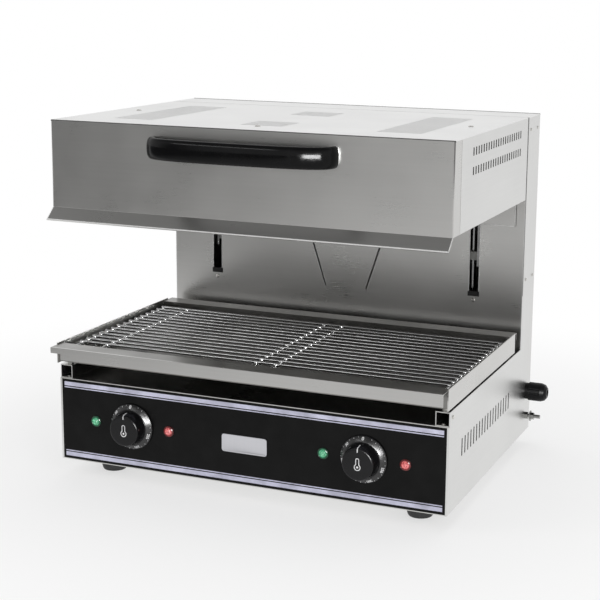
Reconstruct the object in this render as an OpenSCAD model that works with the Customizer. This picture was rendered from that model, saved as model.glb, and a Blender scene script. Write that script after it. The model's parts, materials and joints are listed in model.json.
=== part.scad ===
// Lift salamander grill: a heated hood that slides up and down a rear column, over a
// pull-out drip tray with a wire grid, on a cabinet with two thermostats.
// Sub-parts are drawn with x = 0 on the mid-plane, y = 0 on the fascia's front face and
// z = 0 on the bench. placed() then puts the origin in the middle of the footprint.

/* [Cabinet] */
// Width of the cabinet, column and hood
cabinet_w = 600; // [520:10:760]
// Depth from the fascia to the rear cover
cabinet_d = 430; // [400:5:520]
// Height of the control cabinet, without its feet
base_h = 124; // [110:1:160]
// Depth of the rear column
column_d = 70; // [66:1:100]
// Height of the column above the cabinet's underside
column_h = 504; // [480:2:620]
// Thickness of the folded sheet
sheet_t = 1.2; // [1:0.1:1.5]
// Gap between sheets that only stand next to each other
sheet_gap = 0.3; // [0.2:0.05:0.5]
// Width of the side panel's folded front edge
side_flange_w = 3; // [2:0.5:6]
// Distance of the floor's cooling slots from the mid-plane
floor_vent_x = 90; // [70:5:110]

/* [Feet] */
// Height of a foot
foot_h = 26; // [18:1:45]
// Diameter where a foot meets the floor
foot_top_d = 46; // [36:1:56]
// Diameter where a foot meets the bench
foot_bottom_d = 36; // [26:1:46]
// Distance of a foot's centre from the cabinet's side
foot_inset_x = 56; // [40:1:80]
// Distance of a foot's centre from the front and the rear
foot_inset_y = 56; // [32:1:60]
// Diameter of the foot's stud
foot_stud_d = 6; // [5:1:8]

/* [Side louvres] */
// Number of slots in each cabinet side
base_vents = 18; // [8:1:18]
// Distance between the slots
base_vent_pitch = 14; // [10:0.5:14]
// Width of a slot
base_vent_w = 4.5; // [3:0.5:6]
// Length of a slot
base_vent_h = 25; // [15:1:40]
// Distance of the first slot from the front
base_vent_first = 58; // [45:1:70]
// Distance of the slots' middle below the cabinet's top
base_vent_drop = 45; // [35:1:60]

/* [Control fascia] */
// Thickness of the fascia
fascia_t = 1.5; // [1:0.1:3]
// Distance of each knob from the mid-plane
knob_x = 180; // [140:1:200]
// Height of knobs and lamps above the cabinet's underside
control_z = 64; // [55:1:75]
// Distance of each lamp from its knob
lamp_offset = 60; // [50:1:70]
// Height of the wide stripe
stripe_wide_h = 6; // [4:0.5:9]
// Height of the thin line
stripe_thin_h = 1.5; // [1:0.25:2.5]
// Space between stripe and line
stripe_space = 1.5; // [1:0.25:3]
// Distance of the stripes from the fascia's ends and edges
stripe_inset = 4; // [2:0.5:8]
// Thickness of stripes
stripe_t = 0.25; // [0.2:0.05:0.4]
// Width of the blank badge plate
badge_w = 70; // [40:1:90]
// Height of the blank badge plate
badge_h = 26; // [15:1:35]
// Thickness of the badge plate
badge_t = 1.4; // [0.8:0.1:3]
// Height of the badge's middle above the cabinet's underside
badge_z = 60; // [50:1:75]

/* [Knobs and lamps] */
// Diameter of the knob's dial
dial_d = 68; // [55:1:78]
// Thickness of the dial's rim
dial_t = 1.5; // [1:0.5:4]
// Height of the dial's slope from its rim to the grip
dial_slope_h = 5; // [2:0.5:8]
// Gap between the dial and the fascia
dial_gap = 1.2; // [0.8:0.1:2]
// Diameter of the grip at the dial
grip_root_d = 51; // [38:1:51]
// Diameter of the grip at its face
grip_face_d = 46; // [34:1:48]
// Height of the grip in front of the dial
grip_h = 18; // [16:1:30]
// Diameter of the thermostat's shaft
shaft_d = 6; // [5:0.5:8]
// Radial clearance between the shaft and its bearing
shaft_clear = 0.05; // [0.03:0.01:0.08]
// Diameter of the thermostat's collar
collar_d = 10; // [9:0.5:14]
// Side of the thermostat's square case
thermostat_w = 40; // [32:1:50]
// Depth of the thermostat's case
thermostat_d = 30; // [24:1:40]
// Diameter of the lamp's head
lamp_d = 16; // [10:0.5:18]
// Diameter of the lamp's barrel
lamp_barrel_d = 9.6; // [7:0.2:9.8]
// Height of the lamp's head
lamp_h = 6; // [3:0.5:8]

/* [Tray] */
// Height of the rails under the tray
rail_h = 20; // [16:1:30]
// Width of the rails
rail_w = 20; // [16:1:30]
// Gap between the rails' ends and the column
rail_end_gap = 29; // [20:1:80]
// Diameter of the glide buttons on the rails
glide_d = 9; // [7:0.5:12]
// Height of the glide buttons
glide_h = 3.5; // [2:0.5:5]
// Clearance between tray and glides
glide_clear = 0.3; // [0.2:0.05:0.5]
// How far the tray's lip stands in front of the fascia
tray_front = 26; // [20:1:34]
// Depth of the flat front and rear bands
band_d = 30; // [25:1:36]
// Depth of the pan between the bands
pan_d = 306; // [280:2:306]
// Height of the tray's side walls
tray_side_h = 30; // [26:1:36]
// Thickness of the tray's side walls
tray_side_t = 1.5; // [1.2:0.1:2.5]
// How far the bands lie below the side walls' top
band_drop = 2; // [1:0.5:4]
// Height of the tray's front lip
tray_lip_h = 17.5; // [12:0.5:22]
// Length of the step in the lip's lower left corner
lip_notch_l = 18; // [10:1:26]
// Height of that step
lip_notch_h = 9; // [6:0.5:11]

/* [Wire grid] */
// Diameter of the wires
wire_d = 4; // [3.5:0.25:6]
// Diameter of the cross bars
bar_d = 6; // [5:0.25:8]
// Distance between wires
wire_pitch = 17.8; // [14:0.1:17.8]
// Distance of the first wire from the pan's front wall
first_wire = 36; // [30:1:40]
// Least distance of the last wire from the pan's rear wall
last_wire = 20; // [16:1:40]
// Depth of the ledges that carry the grid
ledge_d = 16; // [12:1:20]
// Clearance between grid and ledge
grid_clear = 0.3; // [0.2:0.05:0.5]
// Clearance between the grid's ends and the tray's side walls
grid_end_gap = 9; // [4:1:12]

/* [Column] */
// Distance of the guide slots from the mid-plane
slot_x = 222; // [190:1:230]
// Width of the guide slots
slot_w = 15; // [14:0.5:18]
// Spare length of the slots below the arms' lowest place
slot_spare = 16; // [8:1:20]
// Distance of the slots' upper end below the column's top
slot_top_gap = 22; // [20:1:30]
// Width of the two slanting slots
vee_w = 2.4; // [2:0.2:6]
// Distance of the slanting slots' lower ends from the mid-plane
vee_bottom_x = 35; // [25:1:50]
// Height of their lower ends above the cabinet's underside
vee_bottom_z = 218; // [200:1:230]
// Distance of the pair's middle to the right of the mid-plane
vee_offset = 8; // [0:1:15]
// Length of the slanting slots
vee_l = 190; // [120:5:200]
// Lean of the slanting slots
vee_lean = 18; // [10:1:22]

/* [Lift] */
// How far the hood can be pulled down
lift_travel = 150; // [120:5:150]
// Diameter of the guide rods
rod_d = 12; // [10:1:14]
// Radial clearance between rod and bush
bush_clear = 0.05; // [0.03:0.01:0.08]
// Distance of the rods behind the column's front sheet
rod_y = 20; // [18:1:24]
// Width of a bush block
bush_w = 20; // [18:1:22]
// Depth of a bush block
bush_d = 26; // [22:1:28]
// Height of a bush block
bush_h = 13; // [10:1:18]
// Thickness of the lift arms
arm_t = 5; // [4:0.5:6]
// Distance of the arms outside the slots' middle
arm_offset = 4; // [3.5:0.5:4]
// Height of the arms' lower end above the cabinet's underside
arm_bottom = 268; // [250:1:280]
// Depth of the arm's vertical bar
arm_bar_d = 24; // [20:1:26]
// Outer diameter of the gas springs
gas_tube_d = 22; // [18:1:26]
// Wall of the gas springs
gas_tube_wall = 1.5; // [1:0.25:2.5]
// Length of the gas springs' tube
gas_tube_l = 220; // [200:5:230]
// Diameter of the gas springs' rod
gas_rod_d = 8; // [6:1:10]
// Distance of the gas springs outside the arms
gas_offset = 26; // [20:1:34]

/* [Hood] */
// Height of the hood
hood_h = 125; // [115:1:150]
// How far the hood stands in front of the fascia
hood_front = 6; // [0:1:12]
// Gap between the hood and the column
hood_gap = 2; // [1.5:0.5:4]
// Depth of the front panel's side returns
return_d = 30; // [20:1:40]
// How far the front lip flares out
lip_out = 18; // [10:1:24]
// How far the front lip drops
lip_drop = 16; // [8:1:20]
// Height of the rear plate below the hood
skirt_h = 42; // [30:1:50]
// Distance of that skirt from the hood's sides
skirt_inset = 14; // [8:1:24]
// Length of a top cooling slot
top_vent_l = 64; // [40:1:70]
// Width of a top cooling slot
top_vent_w = 2.6; // [2:0.2:4]
// Distance between top cooling slots
top_vent_pitch = 8; // [6:0.5:8]
// Slots in each long field
long_field = 30; // [12:1:30]
// Slots in each short field
short_field = 8; // [4:1:8]
// Distance of the long fields from the mid-plane
long_field_x = 202; // [190:1:220]
// Distance of the first slot row behind the hood's front
field_first = 62; // [50:1:70]
// Distance of the rear short field's first slot behind the hood's front
rear_field_first = 232; // [200:1:240]
// Slots in each row of the hood's side
side_vents = 21; // [8:1:21]
// Distance between the side slots
side_vent_pitch = 12; // [8:0.5:12]
// Width of a side slot
side_vent_w = 5; // [3:0.5:6]
// Height of a side slot
side_vent_h = 11; // [8:0.5:14]
// Distance of the first side slot behind the hood's front
side_vent_first = 80; // [60:1:90]
// Distance of the upper row's middle below the hood's top
side_vent_drop = 22; // [18:1:28]
// Distance between the two rows
side_vent_rows = 26; // [20:1:30]

/* [Heating] */
// Height of the reflector above the hood's lower edge
reflector_z = 52; // [45:1:56]
// Distance of the reflector's walls from the hood's sides
reflector_inset = 16; // [12:1:24]
// Height of the reflector's flange above the hood's lower edge
reflector_flange_z = 8; // [4:1:12]
// Thickness of the ceramic blanket
blanket_t = 16; // [10:1:18]
// Diameter of the heating elements
element_d = 8; // [6.5:0.5:9]
// Height of the elements above the hood's lower edge
element_z = 28; // [24:1:34]
// Distance between an element's passes
element_pitch = 64; // [50:1:66]
// Distance of the first pass behind the hood's front
element_first = 80; // [70:1:100]
// Distance of an element's outer end from the hood's side
element_end = 42; // [36:1:60]
// Gap between the two elements at the mid-plane
element_mid_gap = 24; // [16:1:40]
// Diameter of the ceramic terminals
terminal_d = 14; // [11:0.5:18]

/* [Handle] */
// Length of the handle
handle_l = 282; // [220:2:320]
// Height of the handle
handle_h = 30; // [22:1:34]
// How far the handle stands out
handle_reach = 42; // [34:1:50]
// Thickness of the handle's bow
handle_t = 14; // [10:1:16]
// Length of the end that lies on the hood
handle_pad = 24; // [20:1:34]
// Distance of the handle's middle below the hood's top
handle_drop = 30; // [22:1:40]

/* [Connections] */
// Distance of the gland behind the column's front
gland_y = 48; // [42:1:50]
// Height of the gland above the cabinet's underside
gland_z = 66; // [56:1:80]
// Diameter of the gland's cap
gland_d = 29; // [24:1:34]
// Length of the gland's cap
gland_l = 29; // [22:1:36]
// Diameter of the gland's thread
gland_thread_d = 20; // [18:1:22]
// Diameter of the cable entry
gland_bore_d = 10; // [8:0.5:13]
// Distance of the earth stud behind the column's front
stud_y = 46; // [36:1:50]
// Height of the earth stud above the cabinet's underside
stud_z = 26; // [20:1:36]
// Diameter of the earth stud
stud_d = 6; // [5:1:8]
// Length of the earth stud outside the column
stud_l = 24; // [18:1:30]

/* [Screws] */
// Diameter of the small screw heads
screw_d = 8; // [6:0.5:10]
// Height of the small screw heads
screw_h = 1.6; // [1:0.1:2.5]

/* [Hidden] */
$fn = 48;

// Colours
steel = [0.78, 0.78, 0.77];
bright_steel = [0.86, 0.86, 0.86];
dark_steel = [0.45, 0.45, 0.45];
black_gloss = [0.05, 0.05, 0.05];
black_rubber = [0.09, 0.09, 0.09];
ceramic = [0.92, 0.90, 0.84];
stripe_grey = [0.80, 0.80, 0.87];

// Levels and faces
half_w = cabinet_w / 2;
inner_w = half_w - sheet_t;
cab_z = foot_h;
base_top = cab_z + base_h;
column_top_z = cab_z + column_h;
column_y = cabinet_d - column_d;
through = 1;                       // overlap of a cutting body past the faces it cuts

// Tray and grid levels
tray_z = base_top + rail_h + glide_h + glide_clear;
tray_top = tray_z + tray_side_h;
band_z = tray_top - band_drop;
pan_y = band_d - tray_front;       // inner face line of the pan's front wall
pan_end = pan_y + pan_d;
tray_half = half_w - tray_side_t;
tray_side_front = 7;               // the side walls start this far in front of the fascia
tray_side_end_gap = 14;            // and end this far in front of the rear band's edge
weld_sink = 1.5;                   // crossing wires sink this far into each other
wire_drop = 3.3;                   // the wires' top lies this far below the bands
wire_z = band_z - wire_drop - wire_d / 2;
bar_z = wire_z - wire_d / 2 - bar_d / 2 + weld_sink;
wires = floor((pan_d - first_wire - last_wire) / wire_pitch) + 1;
ledge_z = bar_z - bar_d / 2 - grid_clear;
grid_half = tray_half - grid_end_gap;
bar_end_gap = 10;                  // the bars end this far from the pan's walls
bar_end_inset = 3;                 // the outer bars lie this far inside the wires' ends
bar_second = 46;                   // and the left side's second one this far
bar_middle = [0, 30];              // the middle pair
rear_drop = 12;                    // height of the rear band's folded edge

// Hood levels
hood_y = -hood_front;
hood_end = column_y - hood_gap;
hood_top = column_top_z;
hood_z = hood_top - hood_h;
hood_deck = hood_top - sheet_t;
return_end = hood_y + return_d;
deck_z = hood_z + reflector_z;     // underside of the reflector's deck
wall_x = half_w - reflector_inset; // outer face of the reflector's side walls
wall_front = hood_y + reflector_inset;
wall_rear = hood_end - reflector_inset;

// Lift
arm_x = slot_x + arm_offset;       // middle of an arm
rod_x = arm_x - arm_t / 2 - bush_w / 2;
rod_line = column_y + sheet_t + rod_y;
arm_bar_y = column_y + sheet_t + 7;
arm_top = column_h - slot_top_gap - 12;
tongue_bottom = hood_z - cab_z + reflector_flange_z + sheet_t + 2;
slot_bottom = tongue_bottom - lift_travel - slot_spare;
bush_lower = arm_bottom + 10;
bush_upper = arm_top - bush_h - 8;
bracket_h = 12;
bracket_lower = bush_lower - lift_travel - bracket_h - 6;
bracket_upper = column_h - bracket_h - 4;
rod_end_room = 3;                  // the rods end this far inside the brackets' outer faces
gas_x = arm_x + arm_t / 2 + gas_offset;
gas_y = arm_bar_y + arm_bar_d / 2;
gas_eye_d = 16;
gas_eye_t = 8;
gas_pin_d = 8;
gas_foot_z = 22;                   // height of the lower spring pin above the cabinet's underside
gas_head_l = 8;                    // length of the tube's closed ends
gas_tube_z = gas_foot_z + gas_eye_d / 2 - 1;
gas_eye_z = arm_top - 40;
gas_bore_d = gas_tube_d - 2 * gas_tube_wall;
piston_l = 12;
pin_clear = 0.1;

// Outside limits of the assembly, for the origin
gland_base_t = 5;
gland_reach = gland_base_t + gland_l;
side_reach = screw_h;
handle_front = hood_front + handle_reach;
rear_reach = screw_h;
origin_x = (gland_reach - side_reach) / 2;
origin_y = (cabinet_d + rear_reach - handle_front) / 2;

// Puts the middle of the footprint at the origin.
module placed() translate([-origin_x, -origin_y, 0]) children();

// A box between two corners.
module block(low, high) translate(low) cube(high - low);

// A cylinder along +X, and one along +Y.
module rod_x(x, y, z, d, l) translate([x, y, z]) rotate([0, 90, 0]) cylinder(d = d, h = l);
module rod_along_y(x, y, z, d, l) translate([x, y, z]) rotate([-90, 0, 0]) cylinder(d = d, h = l);

// Something and its mirror image across the mid-plane.
module both_sides() {
    children();
    mirror([1, 0, 0]) children();
}

// side = 1 keeps a part on the right, side = -1 puts it on the left.
module on_side(side) {
    if (side > 0) children();
    else mirror([1, 0, 0]) children();
}

// ---- cabinet ----

foot_places = [for (x = [-1, 1], y = [foot_inset_y, cabinet_d - foot_inset_y])
    [x * (half_w - foot_inset_x), y]];

// Floor sheet with holes for the feet and two fields of cooling slots.
floor_vents = 10;
floor_vent_first = 120;
floor_vent_pitch = 16;
floor_vent_w = 5;
floor_vent_l = 60;
module base_floor() placed() color(steel) difference() {
    block([-inner_w, 0, cab_z], [inner_w, cabinet_d - sheet_t, cab_z + sheet_t]);
    for (p = foot_places)
        translate([p[0], p[1], cab_z - through]) cylinder(d = foot_stud_d, h = sheet_t + 2 * through);
    both_sides() for (i = [0:floor_vents - 1])
        block([floor_vent_x, floor_vent_first + i * floor_vent_pitch, cab_z - through],
              [floor_vent_x + floor_vent_l, floor_vent_first + i * floor_vent_pitch + floor_vent_w,
               cab_z + sheet_t + through]);
}

// Rubber feet, each with its stud and nut through the floor.
nut_h = 5;
module feet() placed() color(black_rubber) for (p = foot_places) translate([p[0], p[1], 0]) {
    cylinder(d1 = foot_bottom_d, d2 = foot_top_d, h = foot_h);
    cylinder(d = foot_stud_d, h = foot_h + sheet_t + nut_h + 2);
    translate([0, 0, foot_h + sheet_t]) cylinder(d = foot_stud_d * 2, h = nut_h, $fn = 6);
}

// Side sheet of the cabinet with its folded front edge and its row of louvres.
module base_side(side) placed() on_side(side) color(bright_steel) difference() {
    union() {
        block([inner_w, 0, cab_z], [half_w, column_y, base_top]);
        block([half_w - side_flange_w, 0, cab_z + sheet_t], [half_w, sheet_t, base_top - sheet_t]);
    }
    for (i = [0:base_vents - 1]) translate([inner_w - through,
            base_vent_first + i * base_vent_pitch, base_top - base_vent_drop - base_vent_h / 2])
        cube([sheet_t + 2 * through, base_vent_w, base_vent_h]);
}

// Sheet that closes the cabinet under the tray.
module base_top_plate() placed() color(steel)
    block([-inner_w, 0, base_top - sheet_t], [inner_w, column_y, base_top]);

// ---- control fascia ----

fascia_half = half_w - side_flange_w;
fascia_z = cab_z + sheet_t;
fascia_top = base_top - sheet_t;
lamp_hole_d = lamp_barrel_d + 0.2;
collar_hole_d = collar_d + 0.2;

// The fascia, with holes for the two thermostats and the four lamps.
module control_fascia() placed() color(black_gloss) difference() {
    block([-fascia_half, 0, fascia_z], [fascia_half, fascia_t, fascia_top]);
    both_sides() {
        rod_along_y(knob_x, -through, cab_z + control_z, collar_hole_d, fascia_t + 2 * through);
        for (s = [-1, 1])
            rod_along_y(knob_x + s * lamp_offset, -through, cab_z + control_z,
                        lamp_hole_d, fascia_t + 2 * through);
    }
}

// One stripe across the fascia, from height z.
module stripe(z, h) block([stripe_inset - fascia_half, -stripe_t, z], [fascia_half - stripe_inset, 0, z + h]);

// A wide stripe and a thin line at the top of the fascia, and the same at its foot.
module fascia_stripes() placed() color(stripe_grey) {
    top = fascia_top - stripe_inset;
    foot = fascia_z + stripe_inset;
    stripe(top - stripe_wide_h, stripe_wide_h);
    stripe(top - stripe_wide_h - stripe_space - stripe_thin_h, stripe_thin_h);
    stripe(foot, stripe_wide_h);
    stripe(foot + stripe_wide_h + stripe_space, stripe_thin_h);
}

// Blank plate with rounded corners.
badge_r = 4;
module badge_plate() placed() color(bright_steel)
    translate([0, 0, cab_z + badge_z]) rotate([90, 0, 0]) linear_extrude(badge_t) union() {
        square([badge_w - 2 * badge_r, badge_h], center = true);
        square([badge_w, badge_h - 2 * badge_r], center = true);
        for (x = [-1, 1], y = [-1, 1])
            translate([x * (badge_w / 2 - badge_r), y * (badge_h / 2 - badge_r)]) circle(badge_r);
    }

// Signal lamp: a faceted head, a barrel through the fascia and its clip ring behind.
lamp_back_l = 22;
module lamp(x) translate([x, 0, cab_z + control_z]) {
    rotate([90, 0, 0]) {
        cylinder(d = lamp_d, h = lamp_h * 0.4);
        translate([0, 0, lamp_h * 0.4]) cylinder(d1 = lamp_d - 1, d2 = lamp_d * 0.55, h = lamp_h * 0.6);
    }
    rotate([-90, 0, 0]) {
        cylinder(d = lamp_barrel_d, h = fascia_t + lamp_back_l);
        translate([0, 0, fascia_t]) cylinder(d = lamp_d, h = 3);
    }
}

module green_lamps() placed() color([0.05, 0.55, 0.3]) {
    lamp(-knob_x - lamp_offset);
    lamp(knob_x - lamp_offset);
}

module red_lamps() placed() color([0.8, 0.1, 0.1]) {
    lamp(-knob_x + lamp_offset);
    lamp(knob_x + lamp_offset);
}

// Thermostat: square case on the fascia's back, threaded collar through the fascia, and
// two contact tabs. The shaft turns in its bore.
shaft_back = 16;                   // how far the shaft reaches into the case
tab_w = 6;
tab_t = 2;
tab_l = 8;
module thermostat(side) placed() color(dark_steel) translate([side * knob_x, 0, cab_z + control_z])
    difference() {
        union() {
            block([-thermostat_w / 2, fascia_t, -thermostat_w / 2],
                  [thermostat_w / 2, fascia_t + thermostat_d, thermostat_w / 2]);
            rotate([-90, 0, 0]) translate([0, 0, -dial_gap / 2])
                cylinder(d = collar_d, h = fascia_t + dial_gap / 2 + through);
            for (x = [-1, 1]) translate([x * thermostat_w / 4, fascia_t + thermostat_d, 0])
                translate([-tab_w / 2, -through, -tab_t / 2]) cube([tab_w, tab_l + through, tab_t]);
        }
        rod_along_y(0, -2 * dial_gap, 0, shaft_d + 2 * shaft_clear,
                    fascia_t + shaft_back + 2 * dial_gap + 0.5);
    }

// Shaft of the thermostat, from the case into the knob.
shaft_front = 18;                  // how far the shaft reaches in front of the fascia
module thermostat_shaft(side) placed() color(bright_steel)
    rod_along_y(side * knob_x, -shaft_front, cab_z + control_z, shaft_d,
                shaft_front + fascia_t + shaft_back);

// Knob: a sloping dial with a tapered grip, a groove as its pointer and a bore for the shaft.
dial_ledge = 1.5;                  // width of the ledge between the dial's slope and the grip
grip_z = dial_t + dial_slope_h;
pointer_w = 2;
pointer_t = 0.6;
module knob(side) placed() color(black_gloss) translate([side * knob_x, -dial_gap, cab_z + control_z])
    rotate([90, 0, 0]) difference() {
        union() {
            cylinder(d = dial_d, h = dial_t, $fn = 96);
            translate([0, 0, dial_t])
                cylinder(d1 = dial_d, d2 = grip_root_d + 2 * dial_ledge, h = dial_slope_h, $fn = 96);
            translate([0, 0, grip_z]) cylinder(d1 = grip_root_d, d2 = grip_face_d, h = grip_h, $fn = 72);
        }
        translate([0, 0, -through])
            cylinder(d = shaft_d + 2 * pin_clear, h = shaft_front - dial_gap + through + 0.4);
        translate([-pointer_w / 2, grip_face_d / 4, grip_z + grip_h - pointer_t])
            cube([pointer_w, grip_face_d / 4 + 2, pointer_t + through]);
    }

// Terminal block on the floor inside the column, next to the gland: a foot with the wires'
// ways through it, and a ridge with the clamp screws' holes.
clamps = 5;
clamp_pitch = 14;
clamp_hole_d = 5;
terminal_foot = [clamps * clamp_pitch + 14, 32, 14];
terminal_ridge = [terminal_foot[0] - 8, 16, 10];
terminal_side_gap = 116;           // distance of the block from the column's right side
terminal_front_gap = 14;           // and from the column's front
terminal_way_z = 8;                // height of the wires' ways
module terminal_block() placed() color(ceramic)
    translate([half_w - terminal_side_gap - terminal_foot[0], column_y + terminal_front_gap, cab_z + sheet_t])
    difference() {
        union() {
            cube(terminal_foot);
            translate([(terminal_foot[0] - terminal_ridge[0]) / 2, (terminal_foot[1] - terminal_ridge[1]) / 2,
                    terminal_foot[2] - through])
                cube([terminal_ridge[0], terminal_ridge[1], terminal_ridge[2] + through]);
        }
        for (i = [0:clamps - 1]) translate([(i + 1) * clamp_pitch, 0, 0]) {
            translate([0, terminal_foot[1] / 2, terminal_way_z + clamp_hole_d / 2 + 1.5])
                cylinder(d = clamp_hole_d, h = terminal_foot[2] + through);
            rod_along_y(0, -through, terminal_way_z, clamp_hole_d, terminal_foot[1] + 2 * through);
        }
    }

// ---- rails and tray ----

// C-shaped rail, open towards the outside.
rail_start = 1;
rail_l = column_y - rail_start - rail_end_gap;
rail_mid_x = half_w - sheet_t - (rail_w - sheet_t) / 2;
module rail(side) placed() on_side(side) color(steel) difference() {
    block([half_w - rail_w, rail_start, base_top], [inner_w, rail_start + rail_l, base_top + rail_h]);
    block([half_w - rail_w + sheet_t, rail_start - through, base_top + sheet_t],
          [half_w, rail_start + rail_l + through, base_top + rail_h - sheet_t]);
}

// Upright strip that closes the rail's open side.
module rail_cover(side) placed() on_side(side) color(bright_steel)
    block([inner_w, rail_start + 1, base_top], [half_w, column_y, base_top + rail_h]);

// The drip tray: pan, bands, lip and ledges, folded from one sheet.
module tray_strip(y0, y1, z0, z1) block([-tray_half, y0, z0], [tray_half, y1, z1]);
module drip_tray() placed() color(steel) difference() {
    union() {
        tray_strip(-tray_front, -tray_front + sheet_t, band_z - tray_lip_h, band_z);
        tray_strip(-tray_front, pan_y, band_z - sheet_t, band_z);
        tray_strip(pan_y - sheet_t, pan_y, tray_z, band_z);
        tray_strip(pan_y - sheet_t, pan_end + sheet_t, tray_z, tray_z + sheet_t);
        tray_strip(pan_end, pan_end + sheet_t, tray_z, band_z);
        tray_strip(pan_end, pan_end + band_d, band_z - sheet_t, band_z);
        tray_strip(pan_end + band_d - sheet_t, pan_end + band_d, band_z - rear_drop, band_z);
        tray_strip(pan_y - sheet_t, pan_y + ledge_d, ledge_z - sheet_t, ledge_z);
        tray_strip(pan_end - ledge_d, pan_end + sheet_t, ledge_z - sheet_t, ledge_z);
    }
    block([-half_w, -tray_front - through, band_z - tray_lip_h - through],
          [lip_notch_l - half_w, -tray_front + sheet_t + through, band_z - tray_lip_h + lip_notch_h]);
}

module tray_side(side) placed() on_side(side) color(bright_steel)
    block([tray_half, -tray_side_front, tray_z],
          [half_w, pan_end + band_d - tray_side_end_gap, tray_top]);

// Welded grid: round wires across, on five bars that lie on the tray's ledges.
bar_places = concat([bar_end_inset - grid_half, bar_second - grid_half], bar_middle,
    [grid_half - bar_end_inset]);
module wire_grid() placed() color(bright_steel) union() {
    for (i = [0:wires - 1])
        rod_x(-grid_half, pan_y + first_wire + i * wire_pitch, wire_z, wire_d, 2 * grid_half);
    for (x = bar_places)
        rod_along_y(x, pan_y + bar_end_gap, bar_z, bar_d, pan_d - 2 * bar_end_gap);
}

// ---- column ----

// A slot with round ends that stands on its lower end's centre.
module slot_cut(w, l) rotate([-90, 0, 0]) translate([0, 0, -through])
    linear_extrude(sheet_t + 2 * through) union() {
        translate([-w / 2, -l]) square([w, l]);
        circle(d = w);
        translate([0, -l]) circle(d = w);
    }

// Front sheet of the column with the guide slots, the two slanting slots and, inside the
// cabinet, a passage for the wires.
wire_gate = [120, 40];
module back_panel() placed() color(steel) difference() {
    block([-inner_w, column_y, cab_z + sheet_t], [inner_w, column_y + sheet_t, column_top_z - sheet_t]);
    block([-wire_gate[0] / 2, column_y - through, cab_z + base_h / 2 - wire_gate[1] / 2],
          [wire_gate[0] / 2, column_y + sheet_t + through, cab_z + base_h / 2 + wire_gate[1] / 2]);
    both_sides() {
        block([slot_x - slot_w / 2, column_y - through, cab_z + slot_bottom],
              [slot_x + slot_w / 2, column_y + sheet_t + through, column_top_z - slot_top_gap]);
    }
    translate([vee_offset, 0, 0]) both_sides()
        translate([vee_bottom_x, column_y, cab_z + vee_bottom_z]) rotate([0, vee_lean, 0])
            slot_cut(vee_w, vee_l);
}

// Side sheet of the column, with the holes for gland and stud on the right.
module column_side(side) placed() on_side(side) color(bright_steel) difference() {
    block([inner_w, column_y, cab_z], [half_w, cabinet_d, column_top_z - sheet_t]);
    if (side > 0) {
        rod_x(inner_w - through, column_y + gland_y, cab_z + gland_z, gland_thread_d, 2 * through + sheet_t);
        rod_x(inner_w - through, column_y + stud_y, cab_z + stud_z, stud_d, 2 * through + sheet_t);
    }
}

// Rear sheet with four fields of cooling slots.
rear_vents = 6;
rear_vent_l = 90;
rear_vent_w = 4;
rear_vent_pitch = 12;
rear_vent_low = 40;                // height of the lower fields above the cabinet's underside
rear_vent_drop = 144;              // distance of the upper fields' foot below the column's top
module rear_cover() placed() color(steel) difference() {
    block([-inner_w, cabinet_d - sheet_t, cab_z], [inner_w, cabinet_d, column_top_z - sheet_t]);
    for (x = [-1, 1], z = [rear_vent_low, column_h - rear_vent_drop], i = [0:rear_vents - 1])
        translate([x * half_w / 2, 0, cab_z + z + i * rear_vent_pitch])
            block([-rear_vent_l / 2, cabinet_d - sheet_t - through, 0],
                  [rear_vent_l / 2, cabinet_d + through, rear_vent_w]);
}

module column_top() placed() color(bright_steel)
    block([-half_w, column_y, column_top_z - sheet_t], [half_w, cabinet_d, column_top_z]);

// ---- lift mechanism ----

module guide_rod(side) placed() color(bright_steel)
    translate([side * rod_x, rod_line, cab_z + bracket_lower + rod_end_room])
        cylinder(d = rod_d, h = bracket_upper + bracket_h - bracket_lower - 2 * rod_end_room);

// Blocks that hold the rods behind the front sheet, and the lower pins of the gas springs.
module rod_block(z) difference() {
    block([rod_x - rod_d / 2 - 8, column_y + sheet_t, cab_z + z],
          [arm_x - arm_t / 2 - sheet_gap, rod_line + rod_d / 2 + 7, cab_z + z + bracket_h]);
    translate([rod_x, rod_line, cab_z + z - through]) cylinder(d = rod_d, h = bracket_h + 2 * through);
}
anchor_h = 12;
module spring_anchor() {
    anchor_x = gas_x + gas_eye_t / 2 + sheet_gap;
    block([anchor_x, gas_y - gas_eye_d / 2, cab_z + gas_foot_z - anchor_h / 2],
          [inner_w, gas_y + gas_eye_d / 2, cab_z + gas_foot_z + anchor_h / 2]);
    rod_x(gas_x - gas_eye_t / 2 - 2, gas_y, cab_z + gas_foot_z, gas_pin_d,
          anchor_x + through - gas_x + gas_eye_t / 2 + 2);
}
module guide_brackets() placed() color(dark_steel) both_sides() {
    rod_block(bracket_lower);
    rod_block(bracket_upper);
    spring_anchor();
}

// Black edge stops in the lower ends of the guide slots.
stop_h = 6;
stop_rim = 1.6;
module slot_stops() placed() color(black_rubber) both_sides() {
    block([slot_x - slot_w / 2, column_y, cab_z + slot_bottom],
          [slot_x + slot_w / 2, column_y + sheet_t, cab_z + slot_bottom + stop_h]);
    block([slot_x - slot_w / 2 - stop_rim, column_y - stop_rim + 0.2, cab_z + slot_bottom - stop_rim],
          [slot_x + slot_w / 2 + stop_rim, column_y, cab_z + slot_bottom + stop_h]);
}

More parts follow.
